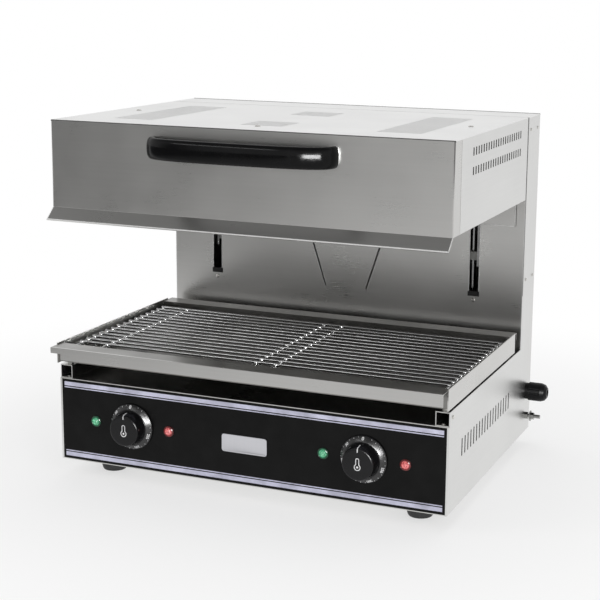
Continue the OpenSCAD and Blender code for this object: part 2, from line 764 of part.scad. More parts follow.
// Gas spring tube with its lower eye, closed head and long bore.
module gas_tube(side) placed() on_side(side) color(black_gloss) difference() {
    union() {
        translate([gas_x, gas_y, cab_z + gas_tube_z]) cylinder(d = gas_tube_d, h = gas_tube_l);
        rod_x(gas_x - gas_eye_t / 2, gas_y, cab_z + gas_foot_z, gas_eye_d, gas_eye_t);
    }
    translate([gas_x, gas_y, cab_z + gas_tube_z + gas_head_l])
        cylinder(d = gas_bore_d, h = gas_tube_l - 2 * gas_head_l);
    translate([gas_x, gas_y, cab_z + gas_tube_z + gas_tube_l - gas_head_l - through])
        cylinder(d = gas_rod_d + 2 * bush_clear, h = gas_head_l + 2 * through);
    rod_x(gas_x - gas_eye_t, gas_y, cab_z + gas_foot_z, gas_pin_d + 2 * pin_clear, 2 * gas_eye_t);
}

// Gas spring rod with its piston and its upper eye.
gas_piston_z = gas_tube_z + gas_tube_l - gas_head_l - piston_l - 6;
module gas_rod(side) placed() on_side(side) color(bright_steel) difference() {
    union() {
        translate([gas_x, gas_y, cab_z + gas_piston_z])
            cylinder(d = gas_rod_d, h = gas_eye_z - gas_piston_z - gas_eye_d / 2 + 1);
        translate([gas_x, gas_y, cab_z + gas_piston_z])
            cylinder(d = gas_bore_d - 2 * bush_clear, h = piston_l);
        rod_x(gas_x - gas_eye_t / 2, gas_y, cab_z + gas_eye_z, gas_eye_d, gas_eye_t);
    }
    rod_x(gas_x - gas_eye_t, gas_y, cab_z + gas_eye_z, gas_pin_d + 2 * pin_clear, 2 * gas_eye_t);
}

// Lift arm: a bar behind the column's front sheet, a tongue through its slot, a flange on the
// hood's rear plate and the upper pin of the gas spring.
flange_w = 28;
flange_t = 3;
module lift_arm(side) placed() on_side(side) color(bright_steel) {
    x0 = arm_x - arm_t / 2;
    x1 = arm_x + arm_t / 2;
    tongue_y = hood_end - sheet_t - flange_t;
    block([x0, arm_bar_y, cab_z + arm_bottom], [x1, arm_bar_y + arm_bar_d, cab_z + arm_top]);
    block([x0, tongue_y, cab_z + tongue_bottom], [x1, arm_bar_y + through, cab_z + arm_top]);
    block([x0 - flange_w, tongue_y, cab_z + tongue_bottom],
          [x0 + through, tongue_y + flange_t, cab_z + arm_top]);
    rod_x(x1 - through, gas_y, cab_z + gas_eye_z, gas_pin_d, gas_offset + gas_eye_t / 2 + 2 + through);
}

// Four bush blocks, two on each arm.
module bush_block(z) difference() {
    block([rod_x - bush_w / 2, rod_line - bush_d / 2, cab_z + z],
          [rod_x + bush_w / 2, rod_line + bush_d / 2, cab_z + z + bush_h]);
    translate([rod_x, rod_line, cab_z + z - through])
        cylinder(d = rod_d + 2 * bush_clear, h = bush_h + 2 * through);
}
module guide_bushes() placed() color([0.65, 0.65, 0.63]) both_sides() {
    bush_block(bush_lower);
    bush_block(bush_upper);
}

// ---- hood ----

// Front panel with its flared lip, as a folded section, its two side returns and the holes
// for the handle's screws.
module hood_front_panel() placed() color(steel) difference() {
    union() {
        hood_front_section();
        both_sides() block([inner_w, hood_y, hood_z], [half_w, return_end, hood_deck]);
    }
    both_sides()
        rod_along_y(handle_screw_x, hood_y - through, handle_z, handle_screw_d, sheet_t + 2 * through);
}
module hood_front_section() {
    fold_l = sqrt(lip_out * lip_out + lip_drop * lip_drop);
    rotate([90, 0, 90]) translate([0, 0, -half_w]) linear_extrude(cabinet_w) polygon([
        [hood_y, hood_top],
        [hood_y, hood_z],
        [hood_y - lip_out, hood_z - lip_drop],
        [hood_y - lip_out + sheet_t * lip_drop / fold_l, hood_z - lip_drop - sheet_t * lip_out / fold_l],
        [hood_y + sheet_t, hood_z - sheet_t / 2],
        [hood_y + sheet_t, hood_top]
    ]);
}

// Rows of cooling slots in the hood's top.
module vent_field(x, first, count)
    for (i = [0:count - 1])
        block([x - top_vent_l / 2, hood_y + first + i * top_vent_pitch, hood_deck - through],
              [x + top_vent_l / 2, hood_y + first + i * top_vent_pitch + top_vent_w, hood_top + through]);

module hood_top_panel() placed() color(bright_steel) difference() {
    block([-half_w, hood_y + sheet_t, hood_deck], [half_w, hood_end, hood_top]);
    both_sides() vent_field(long_field_x, field_first, long_field);
    vent_field(0, field_first, short_field);
    vent_field(0, rear_field_first, short_field);
}

// Side sheet of the hood with two rows of slots.
module hood_side(side) placed() on_side(side) color(bright_steel) difference() {
    block([inner_w, return_end, hood_z], [half_w, hood_end, hood_deck]);
    for (r = [0, 1], i = [0:side_vents - 1])
        translate([inner_w - through, hood_y + side_vent_first + i * side_vent_pitch,
                hood_top - side_vent_drop - r * side_vent_rows - side_vent_h / 2])
            cube([sheet_t + 2 * through, side_vent_w, side_vent_h]);
}

// Rear sheet of the hood with a skirt that covers the guide slots, and gaps for the arms.
module hood_rear_plate() placed() color(steel) difference() {
    union() {
        block([-inner_w, hood_end - sheet_t, hood_z], [inner_w, hood_end, hood_deck]);
        block([skirt_inset - half_w, hood_end - sheet_t, hood_z - skirt_h],
              [half_w - skirt_inset, hood_end, hood_z + through]);
    }
    both_sides() block([arm_x - arm_t / 2, hood_end - sheet_t - through, cab_z + tongue_bottom],
                       [arm_x + arm_t / 2, hood_end + through, cab_z + arm_top]);
}

// Reflector: a deck over the elements, four walls and a flange out to the hood's sheets.
module reflector() placed() color([0.9, 0.9, 0.88]) difference() {
    union() {
        block([-wall_x, wall_front, hood_z + reflector_flange_z], [wall_x, wall_rear, deck_z + sheet_t]);
        block([-inner_w, hood_y + sheet_t, hood_z + reflector_flange_z],
              [inner_w, hood_end - sheet_t, hood_z + reflector_flange_z + sheet_t]);
    }
    block([-wall_x + sheet_t, wall_front + sheet_t, hood_z],
          [wall_x - sheet_t, wall_rear - sheet_t, deck_z]);
    both_sides() for (y = element_ends) translate([element_outer, y, deck_z - through])
        cylinder(d = element_d + 2 * pin_clear, h = sheet_t + 2 * through);
}

// Ceramic blanket on the reflector, clear of the terminals.
blanket_side_gap = 64;
module ceramic_blanket() placed() color([0.93, 0.92, 0.88])
    block([blanket_side_gap - half_w, wall_front + 8, deck_z + sheet_t],
          [half_w - blanket_side_gap, wall_rear - 8, deck_z + sheet_t + blanket_t]);

// Heating element: four passes joined by half turns, with both ends bent up at the outer side.
element_outer = half_w - element_end;
element_level = hood_z + element_z;
element_passes = 4;
element_y = [for (i = [0:element_passes - 1]) hood_y + element_first + i * element_pitch];
element_ends = [element_y[0], element_y[element_passes - 1]];
turn_r = element_pitch / 2;
turn_in = element_mid_gap / 2 + turn_r + element_d / 2;
turn_out = element_outer - turn_r - 6;
terminal_h = 12;
module half_turn(x, y, to_outside) translate([x, y, element_level]) rotate([0, 0, to_outside ? -90 : 90])
    rotate_extrude(angle = 180) translate([turn_r, 0]) circle(d = element_d);
module heating_element(side) placed() on_side(side) color(dark_steel) union() {
    for (i = [0:element_passes - 1]) {
        outer = (i == 0 || i == element_passes - 1) ? element_outer : turn_out;
        rod_x(turn_in, element_y[i], element_level, element_d, outer - turn_in);
    }
    half_turn(turn_in, element_y[0] + turn_r, false);
    half_turn(turn_out, element_y[1] + turn_r, true);
    half_turn(turn_in, element_y[2] + turn_r, false);
    for (y = element_ends) translate([element_outer, y, element_level]) {
        sphere(d = element_d);
        cylinder(d = element_d, h = deck_z + sheet_t + terminal_h / 2 - element_level);
    }
}

// Ceramic terminals on the elements' ends, with their contact pins.
module element_terminals() placed() color(ceramic) both_sides()
    for (y = element_ends) translate([element_outer, y, deck_z + sheet_t]) difference() {
        union() {
            cylinder(d = terminal_d, h = terminal_h);
            cylinder(d = 4, h = terminal_h + 9);
        }
        translate([0, 0, -through])
            cylinder(d = element_d + 2 * pin_clear, h = terminal_h / 2 + through + 0.3);
    }

// Hangers under the elements: a flat bar and two legs up to the reflector.
hanger_w = 12;
hanger_t = 2;
hanger_places = [half_w * 0.25, half_w * 0.68];
module hanger(x) {
    low = element_level - element_d / 2 - pin_clear - hanger_t;
    front = element_y[0] - 18;
    rear = element_y[element_passes - 1] + 18;
    block([x - hanger_w / 2, front, low], [x + hanger_w / 2, rear, low + hanger_t]);
    for (y = [front, rear - hanger_t])
        block([x - hanger_w / 2, y, low], [x + hanger_w / 2, y + hanger_t, deck_z]);
}
module element_supports() placed() color(bright_steel) both_sides() for (x = hanger_places) hanger(x);

// Bow handle: an arched bar seen from above, with rounded ends seen from the front.
handle_corner = 11;
module handle_plan() difference() {
    polygon([
        [-handle_l / 2, 0], [-handle_l / 2, -handle_t * 0.7],
        [-handle_l / 2 + handle_pad * 1.6, -handle_reach + 3], [-handle_l / 4, -handle_reach],
        [handle_l / 4, -handle_reach], [handle_l / 2 - handle_pad * 1.6, -handle_reach + 3],
        [handle_l / 2, -handle_t * 0.7], [handle_l / 2, 0]
    ]);
    polygon([
        [-handle_l / 2 + handle_pad, through], [-handle_l / 2 + handle_pad, 0],
        [-handle_l / 2 + handle_pad * 2.1, -handle_reach + handle_t + 2],
        [-handle_l / 4, -handle_reach + handle_t], [handle_l / 4, -handle_reach + handle_t],
        [handle_l / 2 - handle_pad * 2.1, -handle_reach + handle_t + 2],
        [handle_l / 2 - handle_pad, 0], [handle_l / 2 - handle_pad, through]
    ]);
}
module handle_face() union() {
    square([handle_l - 2 * handle_corner, handle_h], center = true);
    square([handle_l, handle_h - 2 * handle_corner], center = true);
    for (x = [-1, 1], z = [-1, 1])
        translate([x * (handle_l / 2 - handle_corner), z * (handle_h / 2 - handle_corner)])
            circle(handle_corner);
}
handle_screw_x = handle_l / 2 - handle_pad / 2;
handle_z = hood_top - handle_drop;
handle_screw_d = 5;
handle_screw_l = 8;
module handle() placed() color(black_gloss) translate([0, hood_y, handle_z]) difference() {
    intersection() {
        translate([0, 0, -handle_h / 2]) linear_extrude(handle_h) handle_plan();
        rotate([90, 0, 0]) linear_extrude(handle_reach + through) handle_face();
    }
    both_sides() rod_along_y(handle_screw_x, -handle_screw_l, 0, handle_screw_d, handle_screw_l + through);
}

// ---- screws and connections ----

// A pan head on a sheet, looking along +Z before it is turned.
module head(d, h) {
    cylinder(d = d, h = h * 0.5);
    translate([0, 0, h * 0.5]) cylinder(d1 = d, d2 = d * 0.6, h = h * 0.5);
}

// Screws of the hood: three in the top, the handle's two and four on the arms' flanges.
top_screw_side = 36;               // distance of the outer top screws from the hood's sides
top_screw_y = 186;                 // and from its front
top_screw_front = 50;              // distance of the middle top screw from the hood's front
flange_screw_inset = 15;           // distance of the flanges' screws from the flanges' ends
module hood_screws() placed() color(bright_steel) {
    translate([0, hood_y + top_screw_front, hood_top]) head(screw_d, screw_h);
    both_sides() {
        translate([half_w - top_screw_side, hood_y + top_screw_y, hood_top]) head(screw_d, screw_h);
        rod_along_y(handle_screw_x, hood_y - handle_screw_l + sheet_gap, handle_z, handle_screw_d,
                    handle_screw_l + sheet_t + through);
        rod_along_y(handle_screw_x, hood_y + sheet_t, handle_z, 2 * handle_screw_d, 3);
        for (z = [tongue_bottom + flange_screw_inset, arm_top - flange_screw_inset])
            translate([arm_x - arm_t / 2 - flange_w / 2, hood_end - sheet_t - flange_t, cab_z + z])
                rotate([90, 0, 0]) head(screw_d, 2 * screw_h);
    }
}

// Screws of the body: the rails' glide buttons, the slots' screws, and those of the column.
glide_inset = 11;                  // distance of the outer glides from the rails' ends
rail_screw_y = 8;
cover_screw_y = 16;
slot_screw_drop = 8;               // distance of a slot's screw below the slot
column_screw_y = [18, column_d - 12];
column_screw_z = [column_h / 2, column_h - 20];
rear_screw_inset = 12;
rear_screw_z = [16, column_h / 2, column_h - 14];
module body_screws() placed() color(bright_steel) {
    both_sides() {
        for (y = [rail_start + glide_inset, rail_start + rail_l / 2, rail_start + rail_l - glide_inset])
            translate([rail_mid_x, y, base_top + rail_h]) head(glide_d, glide_h);
        translate([rail_mid_x, rail_screw_y, base_top + sheet_t]) head(screw_d * 0.7, screw_h);
        translate([half_w, cover_screw_y, base_top + rail_h / 2]) rotate([0, 90, 0])
            head(screw_d * 0.7, screw_h);
        translate([slot_x, column_y, cab_z + slot_bottom - slot_screw_drop]) rotate([90, 0, 0])
            head(screw_d * 0.75, screw_h);
        for (y = column_screw_y, z = column_screw_z)
            translate([half_w, column_y + y, cab_z + z]) rotate([0, 90, 0]) head(screw_d * 0.6, screw_h);
        for (z = rear_screw_z)
            translate([half_w - rear_screw_inset, cabinet_d, cab_z + z]) rotate([-90, 0, 0])
                head(screw_d, screw_h);
    }
}

// Cable gland: base ring and thread in the side sheet, locknut inside, fluted cap and dome
// outside, with the cable's way right through.
gland_flutes = 12;
gland_thread_l = 12;
gland_nut_h = 5;
module cable_gland() placed() color(black_gloss)
    translate([half_w, column_y + gland_y, cab_z + gland_z]) rotate([0, 90, 0]) difference() {
        union() {
            translate([0, 0, -gland_thread_l - sheet_t])
                cylinder(d = gland_thread_d, h = gland_thread_l + sheet_t + through);
            translate([0, 0, -sheet_t - gland_nut_h]) cylinder(d = gland_d - 2, h = gland_nut_h, $fn = 6);
            cylinder(d = gland_d - 3, h = gland_base_t);
            translate([0, 0, gland_base_t]) cylinder(d = gland_d, h = gland_l * 0.68);
            translate([0, 0, gland_base_t + gland_l * 0.68])
                cylinder(d1 = gland_d, d2 = gland_d * 0.86, h = gland_l * 0.2);
            translate([0, 0, gland_base_t + gland_l * 0.88])
                cylinder(d1 = gland_d * 0.86, d2 = gland_d * 0.55, h = gland_l * 0.12);
        }
        for (i = [0:gland_flutes - 1]) rotate([0, 0, i * 360 / gland_flutes])
            translate([gland_d / 2 + 0.6, 0, gland_base_t + 2]) cylinder(d = 3, h = gland_l * 0.6, $fn = 24);
        translate([0, 0, -gland_thread_l - 2 * through - sheet_t])
            cylinder(d = gland_bore_d, h = gland_reach + gland_thread_l + sheet_t + 4 * through);
    }

// Earth stud: threaded bolt through the side sheet with nuts and washers on both faces.
stud_nut_h = 5;
stud_nut_d = stud_d * 1.9;
stud_inner_l = 14;                 // how far the stud reaches inside the column
washer_t = 1.4;
washer_z = stud_nut_h + 3;
module earth_stud() placed() color(bright_steel)
    translate([half_w, column_y + stud_y, cab_z + stud_z]) rotate([0, 90, 0]) {
        translate([0, 0, -sheet_t - stud_inner_l]) cylinder(d = stud_d, h = sheet_t + stud_inner_l + stud_l);
        translate([0, 0, -sheet_t - stud_nut_h]) cylinder(d = stud_nut_d, h = stud_nut_h, $fn = 6);
        cylinder(d = stud_nut_d, h = stud_nut_h, $fn = 6);
        translate([0, 0, washer_z]) cylinder(d = stud_d * 2.8, h = washer_t);
        translate([0, 0, washer_z + washer_t]) cylinder(d = stud_nut_d, h = stud_nut_h, $fn = 6);
    }

base_floor();
base_side(-1);  // base_side_left
base_side(1);  // base_side_right
base_top_plate();
control_fascia();
fascia_stripes();
badge_plate();
feet();
green_lamps();
red_lamps();
knob(-1);  // knob_left
knob(1);  // knob_right
thermostat(-1);  // thermostat_left
thermostat(1);  // thermostat_right
thermostat_shaft(-1);  // thermostat_shaft_left
thermostat_shaft(1);  // thermostat_shaft_right
terminal_block();
rail(-1);  // rail_left
rail(1);  // rail_right
rail_cover(-1);  // rail_cover_left
rail_cover(1);  // rail_cover_right
drip_tray();
tray_side(-1);  // tray_side_left
tray_side(1);  // tray_side_right
wire_grid();
back_panel();
column_side(-1);  // column_side_left
column_side(1);  // column_side_right
rear_cover();
column_top();
guide_rod(-1);  // guide_rod_left
guide_rod(1);  // guide_rod_right
guide_brackets();
slot_stops();
gas_tube(-1);  // gas_tube_left
gas_tube(1);  // gas_tube_right
gas_rod(-1);  // gas_rod_left
gas_rod(1);  // gas_rod_right
lift_arm(-1);  // lift_arm_left
lift_arm(1);  // lift_arm_right
guide_bushes();
hood_front_panel();
hood_top_panel();
hood_side(-1);  // hood_side_left
hood_side(1);  // hood_side_right
hood_rear_plate();
reflector();
ceramic_blanket();
heating_element(-1);  // heating_element_left
heating_element(1);  // heating_element_right
element_supports();
element_terminals();
handle();
hood_screws();
body_screws();
cable_gland();
earth_stud();
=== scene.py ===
"""Finishes, fine parts, light and camera for a lift salamander grill."""

import json
import math

import bmesh
import bpy
from bpy.props import FloatProperty, FloatVectorProperty, IntProperty, PointerProperty
from mathutils import Matrix, Vector
from mathutils.geometry import interpolate_bezier

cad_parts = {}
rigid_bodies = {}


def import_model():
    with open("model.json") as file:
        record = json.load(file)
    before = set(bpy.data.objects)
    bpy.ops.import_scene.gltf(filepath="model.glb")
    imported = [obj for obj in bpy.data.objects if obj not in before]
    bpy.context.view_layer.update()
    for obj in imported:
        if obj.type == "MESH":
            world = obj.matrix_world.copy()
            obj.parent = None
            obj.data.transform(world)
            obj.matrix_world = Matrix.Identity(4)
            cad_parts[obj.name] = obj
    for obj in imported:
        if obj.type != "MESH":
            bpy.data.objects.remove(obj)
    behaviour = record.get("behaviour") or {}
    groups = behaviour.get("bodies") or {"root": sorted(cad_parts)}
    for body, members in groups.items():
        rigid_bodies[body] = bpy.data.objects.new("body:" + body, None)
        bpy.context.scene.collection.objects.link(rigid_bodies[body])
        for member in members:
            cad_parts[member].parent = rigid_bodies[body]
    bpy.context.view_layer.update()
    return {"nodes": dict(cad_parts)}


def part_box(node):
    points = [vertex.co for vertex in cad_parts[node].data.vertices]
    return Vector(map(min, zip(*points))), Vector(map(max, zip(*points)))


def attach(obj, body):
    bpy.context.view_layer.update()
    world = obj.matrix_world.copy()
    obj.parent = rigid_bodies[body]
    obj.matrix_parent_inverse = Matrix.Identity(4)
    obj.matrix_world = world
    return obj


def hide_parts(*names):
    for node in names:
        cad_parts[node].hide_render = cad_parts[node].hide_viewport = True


bl_info = {
    "name": "Lift Salamander Dressing",
    "version": (1, 0, 0),
    "blender": (4, 5, 0),
    "location": "3D View > Sidebar > Grill",
    "description": "Dresses the frame of a lift salamander grill with its finishes and fine parts",
    "category": "Object",
}

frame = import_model()

MM = 0.001
TURN = 2 * math.pi

# How a noise is stretched where the grain runs across, to the back, or upright.
ACROSS = (0.02, 1, 1)
DEEP = (1, 0.02, 1)
UPRIGHT = (1, 1, 0.02)

# The pieces that small bright highlights show in, by the start of their names.
GLOSSY_PIECES = (
    "handle_bow", "knob_cap", "knob_dial", "green_", "red_", "wire_grid", "grid_welds", "cable_gland",
    "feet_turned",
)


def low(node):
    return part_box(node)[0]


def high(node):
    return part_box(node)[1]


def middle(node):
    return (low(node) + high(node)) / 2


# ---- settings


def colour_setting(name, description, default):
    return FloatVectorProperty(name=name, description=description, subtype="COLOR", default=default)


def number_setting(name, description, default, **limits):
    return FloatProperty(name=name, description=description, default=default, **limits)


def length_setting(name, description, default):
    return FloatProperty(name=name, description=description, unit="LENGTH", default=default)


def power_setting(name, description, default):
    return FloatProperty(name=name, description=description, unit="POWER", default=default)


def angle_setting(name, description, degrees):
    return FloatProperty(name=name, description=description, subtype="ANGLE", default=math.radians(degrees))


class GrillStageSettings(bpy.types.PropertyGroup):
    """Camera, floor and light."""

    camera_place: FloatVectorProperty(
        name="Camera place", description="Where the camera stands", subtype="TRANSLATION", unit="LENGTH",
        default=(0.8147, -1.9121, 0.7229),
    )
    camera_heading: angle_setting("Heading", "Camera's turn to the right of straight ahead", -21.68)
    camera_dip: angle_setting("Dip", "How far the camera looks down", 11.23)
    camera_roll: angle_setting("Roll", "Camera's roll about its line of sight", 0.67)
    camera_lens: number_setting("Lens", "Focal length in millimetres", 85.07)
    camera_shift: FloatVectorProperty(
        name="Shift", description="Lens shift to the right and up", size=2, default=(-0.0727, -0.0574),
    )
    floor_colour: colour_setting("Floor", "Colour of the floor", (0.86, 0.86, 0.86))
    front_dim: number_setting("Front dim", "Brightness that polished parts see ahead of the grill", 0.86)
    flag_dim: number_setting("Flag dim", "What a dark flag at the front left leaves of it", 0.08)
    zenith_dim: number_setting("Zenith dim", "Brightness that polished parts see above the front", 0.24)
    front_power: power_setting("Front highlight", "Wide box that shows in glossy parts", 12.0)
    core_power: power_setting("Highlight core", "Brighter core of that box", 100.0)
    strip_power: power_setting("Left highlight", "Strip that shows in glossy parts", 3.2)
    key_power: power_setting("Right light", "Right softbox", 9.0)
    fill_power: power_setting("Left light", "Left softbox", 6.0)
    top_power: power_setting("Top light", "Softbox overhead", 14.0)
    sky: number_setting("Sky", "Strength of the surrounding light", 0.62)


class GrillFinishSettings(bpy.types.PropertyGroup):
    """Colours of the grill's finishes."""

    # One steel in three tones by the way its faces look: the front tone is painted shade, the side and top
    # tones are painted light.
    front_sheet_shaded: colour_setting("Front sheet", "Brushed sheet of front, back and tray", (0.60, 0.595, 0.58))
    side_sheet_lit: colour_setting("Side sheet", "Fine-ground sheet of the sides", (0.70, 0.70, 0.69))
    top_sheet_lit: colour_setting("Top sheet", "Sheet of the top", (0.84, 0.84, 0.835))
    enamel: colour_setting("Front enamel", "Black of the control fascia", (0.006, 0.006, 0.006))
    stripe: colour_setting("Stripe", "Printed stripes", (0.60, 0.60, 0.74))
    plastic: colour_setting("Black plastic", "Handle, knobs and gland", (0.012, 0.012, 0.013))
    rubber: colour_setting("Rubber", "Feet and edge stops", (0.018, 0.018, 0.018))
    green: colour_setting("Green lens", "Green signal lamps", (0.05, 0.40, 0.19))
    red: colour_setting("Red lens", "Red signal lamps", (0.62, 0.09, 0.09))


class GrillDetailSettings(bpy.types.PropertyGroup):
    """Sizes of the fine parts."""

    fold: length_setting("Fold", "Radius of folded sheet", 1.6 * MM)
    sheet: length_setting("Sheet", "Thickness of sheet", 1.2 * MM)
    hem: length_setting("Hem", "Diameter of the lip's hem", 2.4 * MM)
    grip_thick: length_setting("Handle depth", "Depth of the handle's bar", 14 * MM)
    grip_square: number_setting("Handle squareness", "2 is an ellipse, more is squarer", 2.5, min=2, max=6)
    digit: length_setting("Digits", "Height of the dial's digits", 5.6 * MM)
    dial_steps: IntProperty(name="Dial steps", description="Numbers on the dial", default=7, min=2, max=9)


# ---- finishes


class NodeTree:
    """A node tree being built, with the steps that finishes, floor and world share."""

    def __init__(self, tree):
        self.tree = tree
        self.tree.nodes.clear()

    def feed(self, value, target):
        """Links a socket to another, or gives it a fixed value."""
        if isinstance(value, bpy.types.NodeSocket):
            self.tree.links.new(value, target)
        else:
            target.default_value = value

    def node(self, kind, inputs=(), **values):
        """Adds a node with its properties and what its inputs get, and hands out its outputs."""
        made = self.tree.nodes.new(kind)
        for key, value in values.items():
            setattr(made, key, value)
        for key, value in dict(inputs).items():
            self.feed(value, made.inputs[key])
        return made.outputs

    def split(self, source):
        """The x, y and z of a place or direction."""
        return self.node("ShaderNodeSeparateXYZ", {0: source})

    def ranged(self, source, spots, values, easing="SMOOTHSTEP"):
        """Goes from the first value to the second while the source goes from spot to spot."""
        ends = dict(zip(("From Min", "From Max", "To Min", "To Max"), (*spots, *values)))
        return self.node("ShaderNodeMapRange", {"Value": source, **ends}, interpolation_type=easing)["Result"]

    def product(self, *factors):
        whole = factors[0]
        for factor in factors[1:]:
            whole = self.node("ShaderNodeMath", {0: whole, 1: factor}, operation="MULTIPLY")[0]
        return whole

    def blend(self, first, second, share, kind="FLOAT"):
        """Two values or colours, with the given share of the second."""
        inputs = {"A": first, "B": second, "Factor": share}
        return self.node("ShaderNodeMix", inputs, data_type=kind)["Result"]

    def shader_blend(self, first, second, share):
        """Two shaders, with the given share of the second."""
        return self.node("ShaderNodeMixShader", {0: share, 1: first, 2: second})[0]

    def mirror_rays(self, paths):
        """1 where something is seen in a polished part or through a clear one."""
        inputs = {0: paths["Is Glossy Ray"], 1: paths["Is Transmission Ray"]}
        return self.node("ShaderNodeMath", inputs, operation="ADD")[0]


class Finish(NodeTree):
    """A material being built: a shader and the patterns that feed it."""

    def __init__(self, name):
        self.material = bpy.data.materials.new(name)
        self.material.use_nodes = True
        super().__init__(self.material.node_tree)
        shader = self.tree.nodes.new("ShaderNodeBsdfPrincipled")
        self.shader = shader.inputs
        self.node("ShaderNodeOutputMaterial", {"Surface": shader.outputs["BSDF"]})
        self.place = self.node("ShaderNodeTexCoord")["Object"]

    def set(self, **values):
        """Feeds the shader's own sockets."""
        for key, value in values.items():
            self.feed(value, self.shader[key.replace("_", " ")])

    def noise(self, scale, stretch=(1, 1, 1), detail=3.0, roughness=0.5):
        """Noise of so many blobs a metre, stretched along an axis where stretch is below 1."""
        place = self.node("ShaderNodeMapping", {"Vector": self.place, "Scale": stretch})["Vector"]
        inputs = {"Vector": place, "Scale": scale, "Detail": detail, "Roughness": roughness}
        return self.node("ShaderNodeTexNoise", inputs)["Fac"]

    def spread(self, source, lowest, highest):
        """The middle of a noise stretched to a range."""
        return self.ranged(source, (0.3, 0.7), (lowest, highest), "LINEAR")

    def film(self, colour, cover):
        """Lays a second colour over the first, as far as a pattern covers it."""
        first = self.shader["Base Color"].links[0].from_socket
        self.set(Base_Color=self.blend(first, (*colour, 1), cover, "RGBA"))

    def colour(self, dark, light, source):
        """The shader's colour, from dark to light by a pattern."""
        self.set(Base_Color=self.blend((*dark, 1), (*light, 1), self.spread(source, 0, 1), "RGBA"))

    def roughness(self, lowest, highest, source):
        self.set(Roughness=self.spread(source, lowest, highest))

    def surface(self, source, distance, strength=0.4, edge=0.0):
        """Bump, on edges that are rounded by the given radius."""
        inputs = {"Strength": strength, "Distance": distance, "Height": source}
        if edge:
            inputs["Normal"] = self.node("ShaderNodeBevel", {"Radius": edge}, samples=6)["Normal"]
        self.set(Normal=self.node("ShaderNodeBump", inputs)["Normal"])


def tint(colour, factor):
    """A colour made darker or lighter, up to white."""
    return tuple(min(1.0, c * factor) for c in colour)


def ground_sheet(name, colour, grain, rough=0.28, edge=0.2 * MM):
    """Ground stainless sheet: fine streaks along the grain, wide clouds and a few smudges."""
    made = Finish(name)
    streaks = made.noise(1100, grain, roughness=0.6)
    bands = made.noise(300, tuple(g * 0.5 if g < 1 else g for g in grain), detail=2)
    clouds = made.noise(6, detail=2)
    smudges = made.noise(15)
    made.set(Metallic=1.0)
    made.colour(tint(colour, 0.96), tint(colour, 1.03), made.blend(clouds, bands, 0.3))
    made.roughness(rough - 0.02, rough + 0.05, made.blend(streaks, smudges, 0.6))
    made.surface(made.blend(streaks, bands, 0.2), 0.02 * MM, 0.04, edge)
    return made


def turned_metal(name, colour, rough=0.22, edge=0.3 * MM):
    """Drawn or turned metal with a fine tooth and faint clouds."""
    made = Finish(name)
    tooth = made.noise(600)
    made.set(Metallic=1.0)
    made.colour(tint(colour, 0.86), tint(colour, 1.06), made.noise(60))
    made.roughness(rough - 0.06, rough + 0.08, tooth)
    made.surface(tooth, 0.03 * MM, 0.3, edge)
    return made.material


def highlit_cut_edge(name, colour):
    """The burnished cut edge of a sheet, lighter than the sheet: a painted highlight that shows from any
    side.
    """
    made = Finish(name)
    wear = made.noise(900)
    made.set(Metallic=0.35)
    made.colour(tint(colour, 0.8), colour, wear)
    made.roughness(0.35, 0.55, wear)
    made.surface(wear, 0.03 * MM, 0.3)
    return made.material


def moulded(name, colour, rough=0.35, gloss=0.5, pits=1400, depth=0.03 * MM, edge=0.3 * MM):
    """Plastic, rubber, enamel or print with a finely pitted skin."""
    made = Finish(name)
    skin = made.noise(pits, detail=2)
    made.set(Specular_IOR_Level=gloss)
    made.colour(tint(colour, 0.8), tint(colour, 1.25), made.noise(40))
    made.roughness(max(0.02, rough - 0.05), rough + 0.06, made.noise(120))
    made.surface(skin, depth, 0.35, edge)
    return made.material


def lens(name, colour, glow):
    """Clear coloured plastic, its facets spotted light in its colour: a painted glitter."""
    made = Finish(name)
    made.set(Specular_IOR_Level=0.8, Emission_Strength=glow, Emission_Color=(*colour, 1))
    painted_glint = tuple(min(1.0, c * 1.4 + 0.16) for c in colour)
    made.colour(tint(colour, 0.5), painted_glint, made.noise(480, detail=1))
    made.roughness(0.08, 0.18, made.noise(260))
    made.surface(made.noise(420, detail=1), 0.15 * MM, 0.4)
    return made.material


def fibre_mat(name, colour):
    """A pressed mat of mineral fibre."""
    made = Finish(name)
    hairs = made.noise(420, (1, 1, 0.4), detail=6, roughness=0.8)
    made.colour(tint(colour, 0.8), colour, hairs)
    made.roughness(0.85, 1.0, hairs)
    made.surface(hairs, 0.8 * MM, 0.8)
    return made.material


def placed(name, data):
    """A new object in the scene."""
    made = bpy.data.objects.new(name, data)
    bpy.context.scene.collection.objects.link(made)
    return made


def both(*names):
    """The left and the right node of each name."""
    return [name + side for name in names for side in ("_left", "_right")]


def dress(material, *nodes):
    """Gives CAD nodes a material."""
    for name in nodes:
        node = frame["nodes"][name]
        for place in node.material_slots:
            place.material = material


# ---- mesh helpers


def as_piece(bm, name, body, material, replaced=(), sharp=math.radians(35), flat_area=1.0):
    """Makes a mesh object riding on a body, smooth up to a sharp angle, flat in faces above an area."""
    mesh = bpy.data.meshes.new(name)
    bm.to_mesh(mesh)
    bm.free()
    for face in mesh.polygons:
        face.use_smooth = True
    mesh.set_sharp_from_angle(angle=sharp)
    for face in mesh.polygons:
        if face.area > flat_area:
            face.use_smooth = False
    mesh.materials.append(material)
    made = placed(name, mesh)
    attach(made, body)
    if replaced:
        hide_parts(*replaced)
    return made


def turned(bm, outline, base, axis):
    """Turns an outline of (radius, distance) about an axis through base."""
    axis = Vector(axis).normalized()
    side = axis.orthogonal().normalized()
    verts = [bm.verts.new(base + side * r + axis * d) for r, d in outline]
    edges = [bm.edges.new(pair) for pair in zip(verts, verts[1:])]
    bmesh.ops.spin(bm, geom=verts + edges, cent=base, axis=axis, dvec=(0, 0, 0), angle=TURN, steps=64,
                   use_merge=True)
    bmesh.ops.remove_doubles(bm, verts=bm.verts, dist=0.002 * MM)


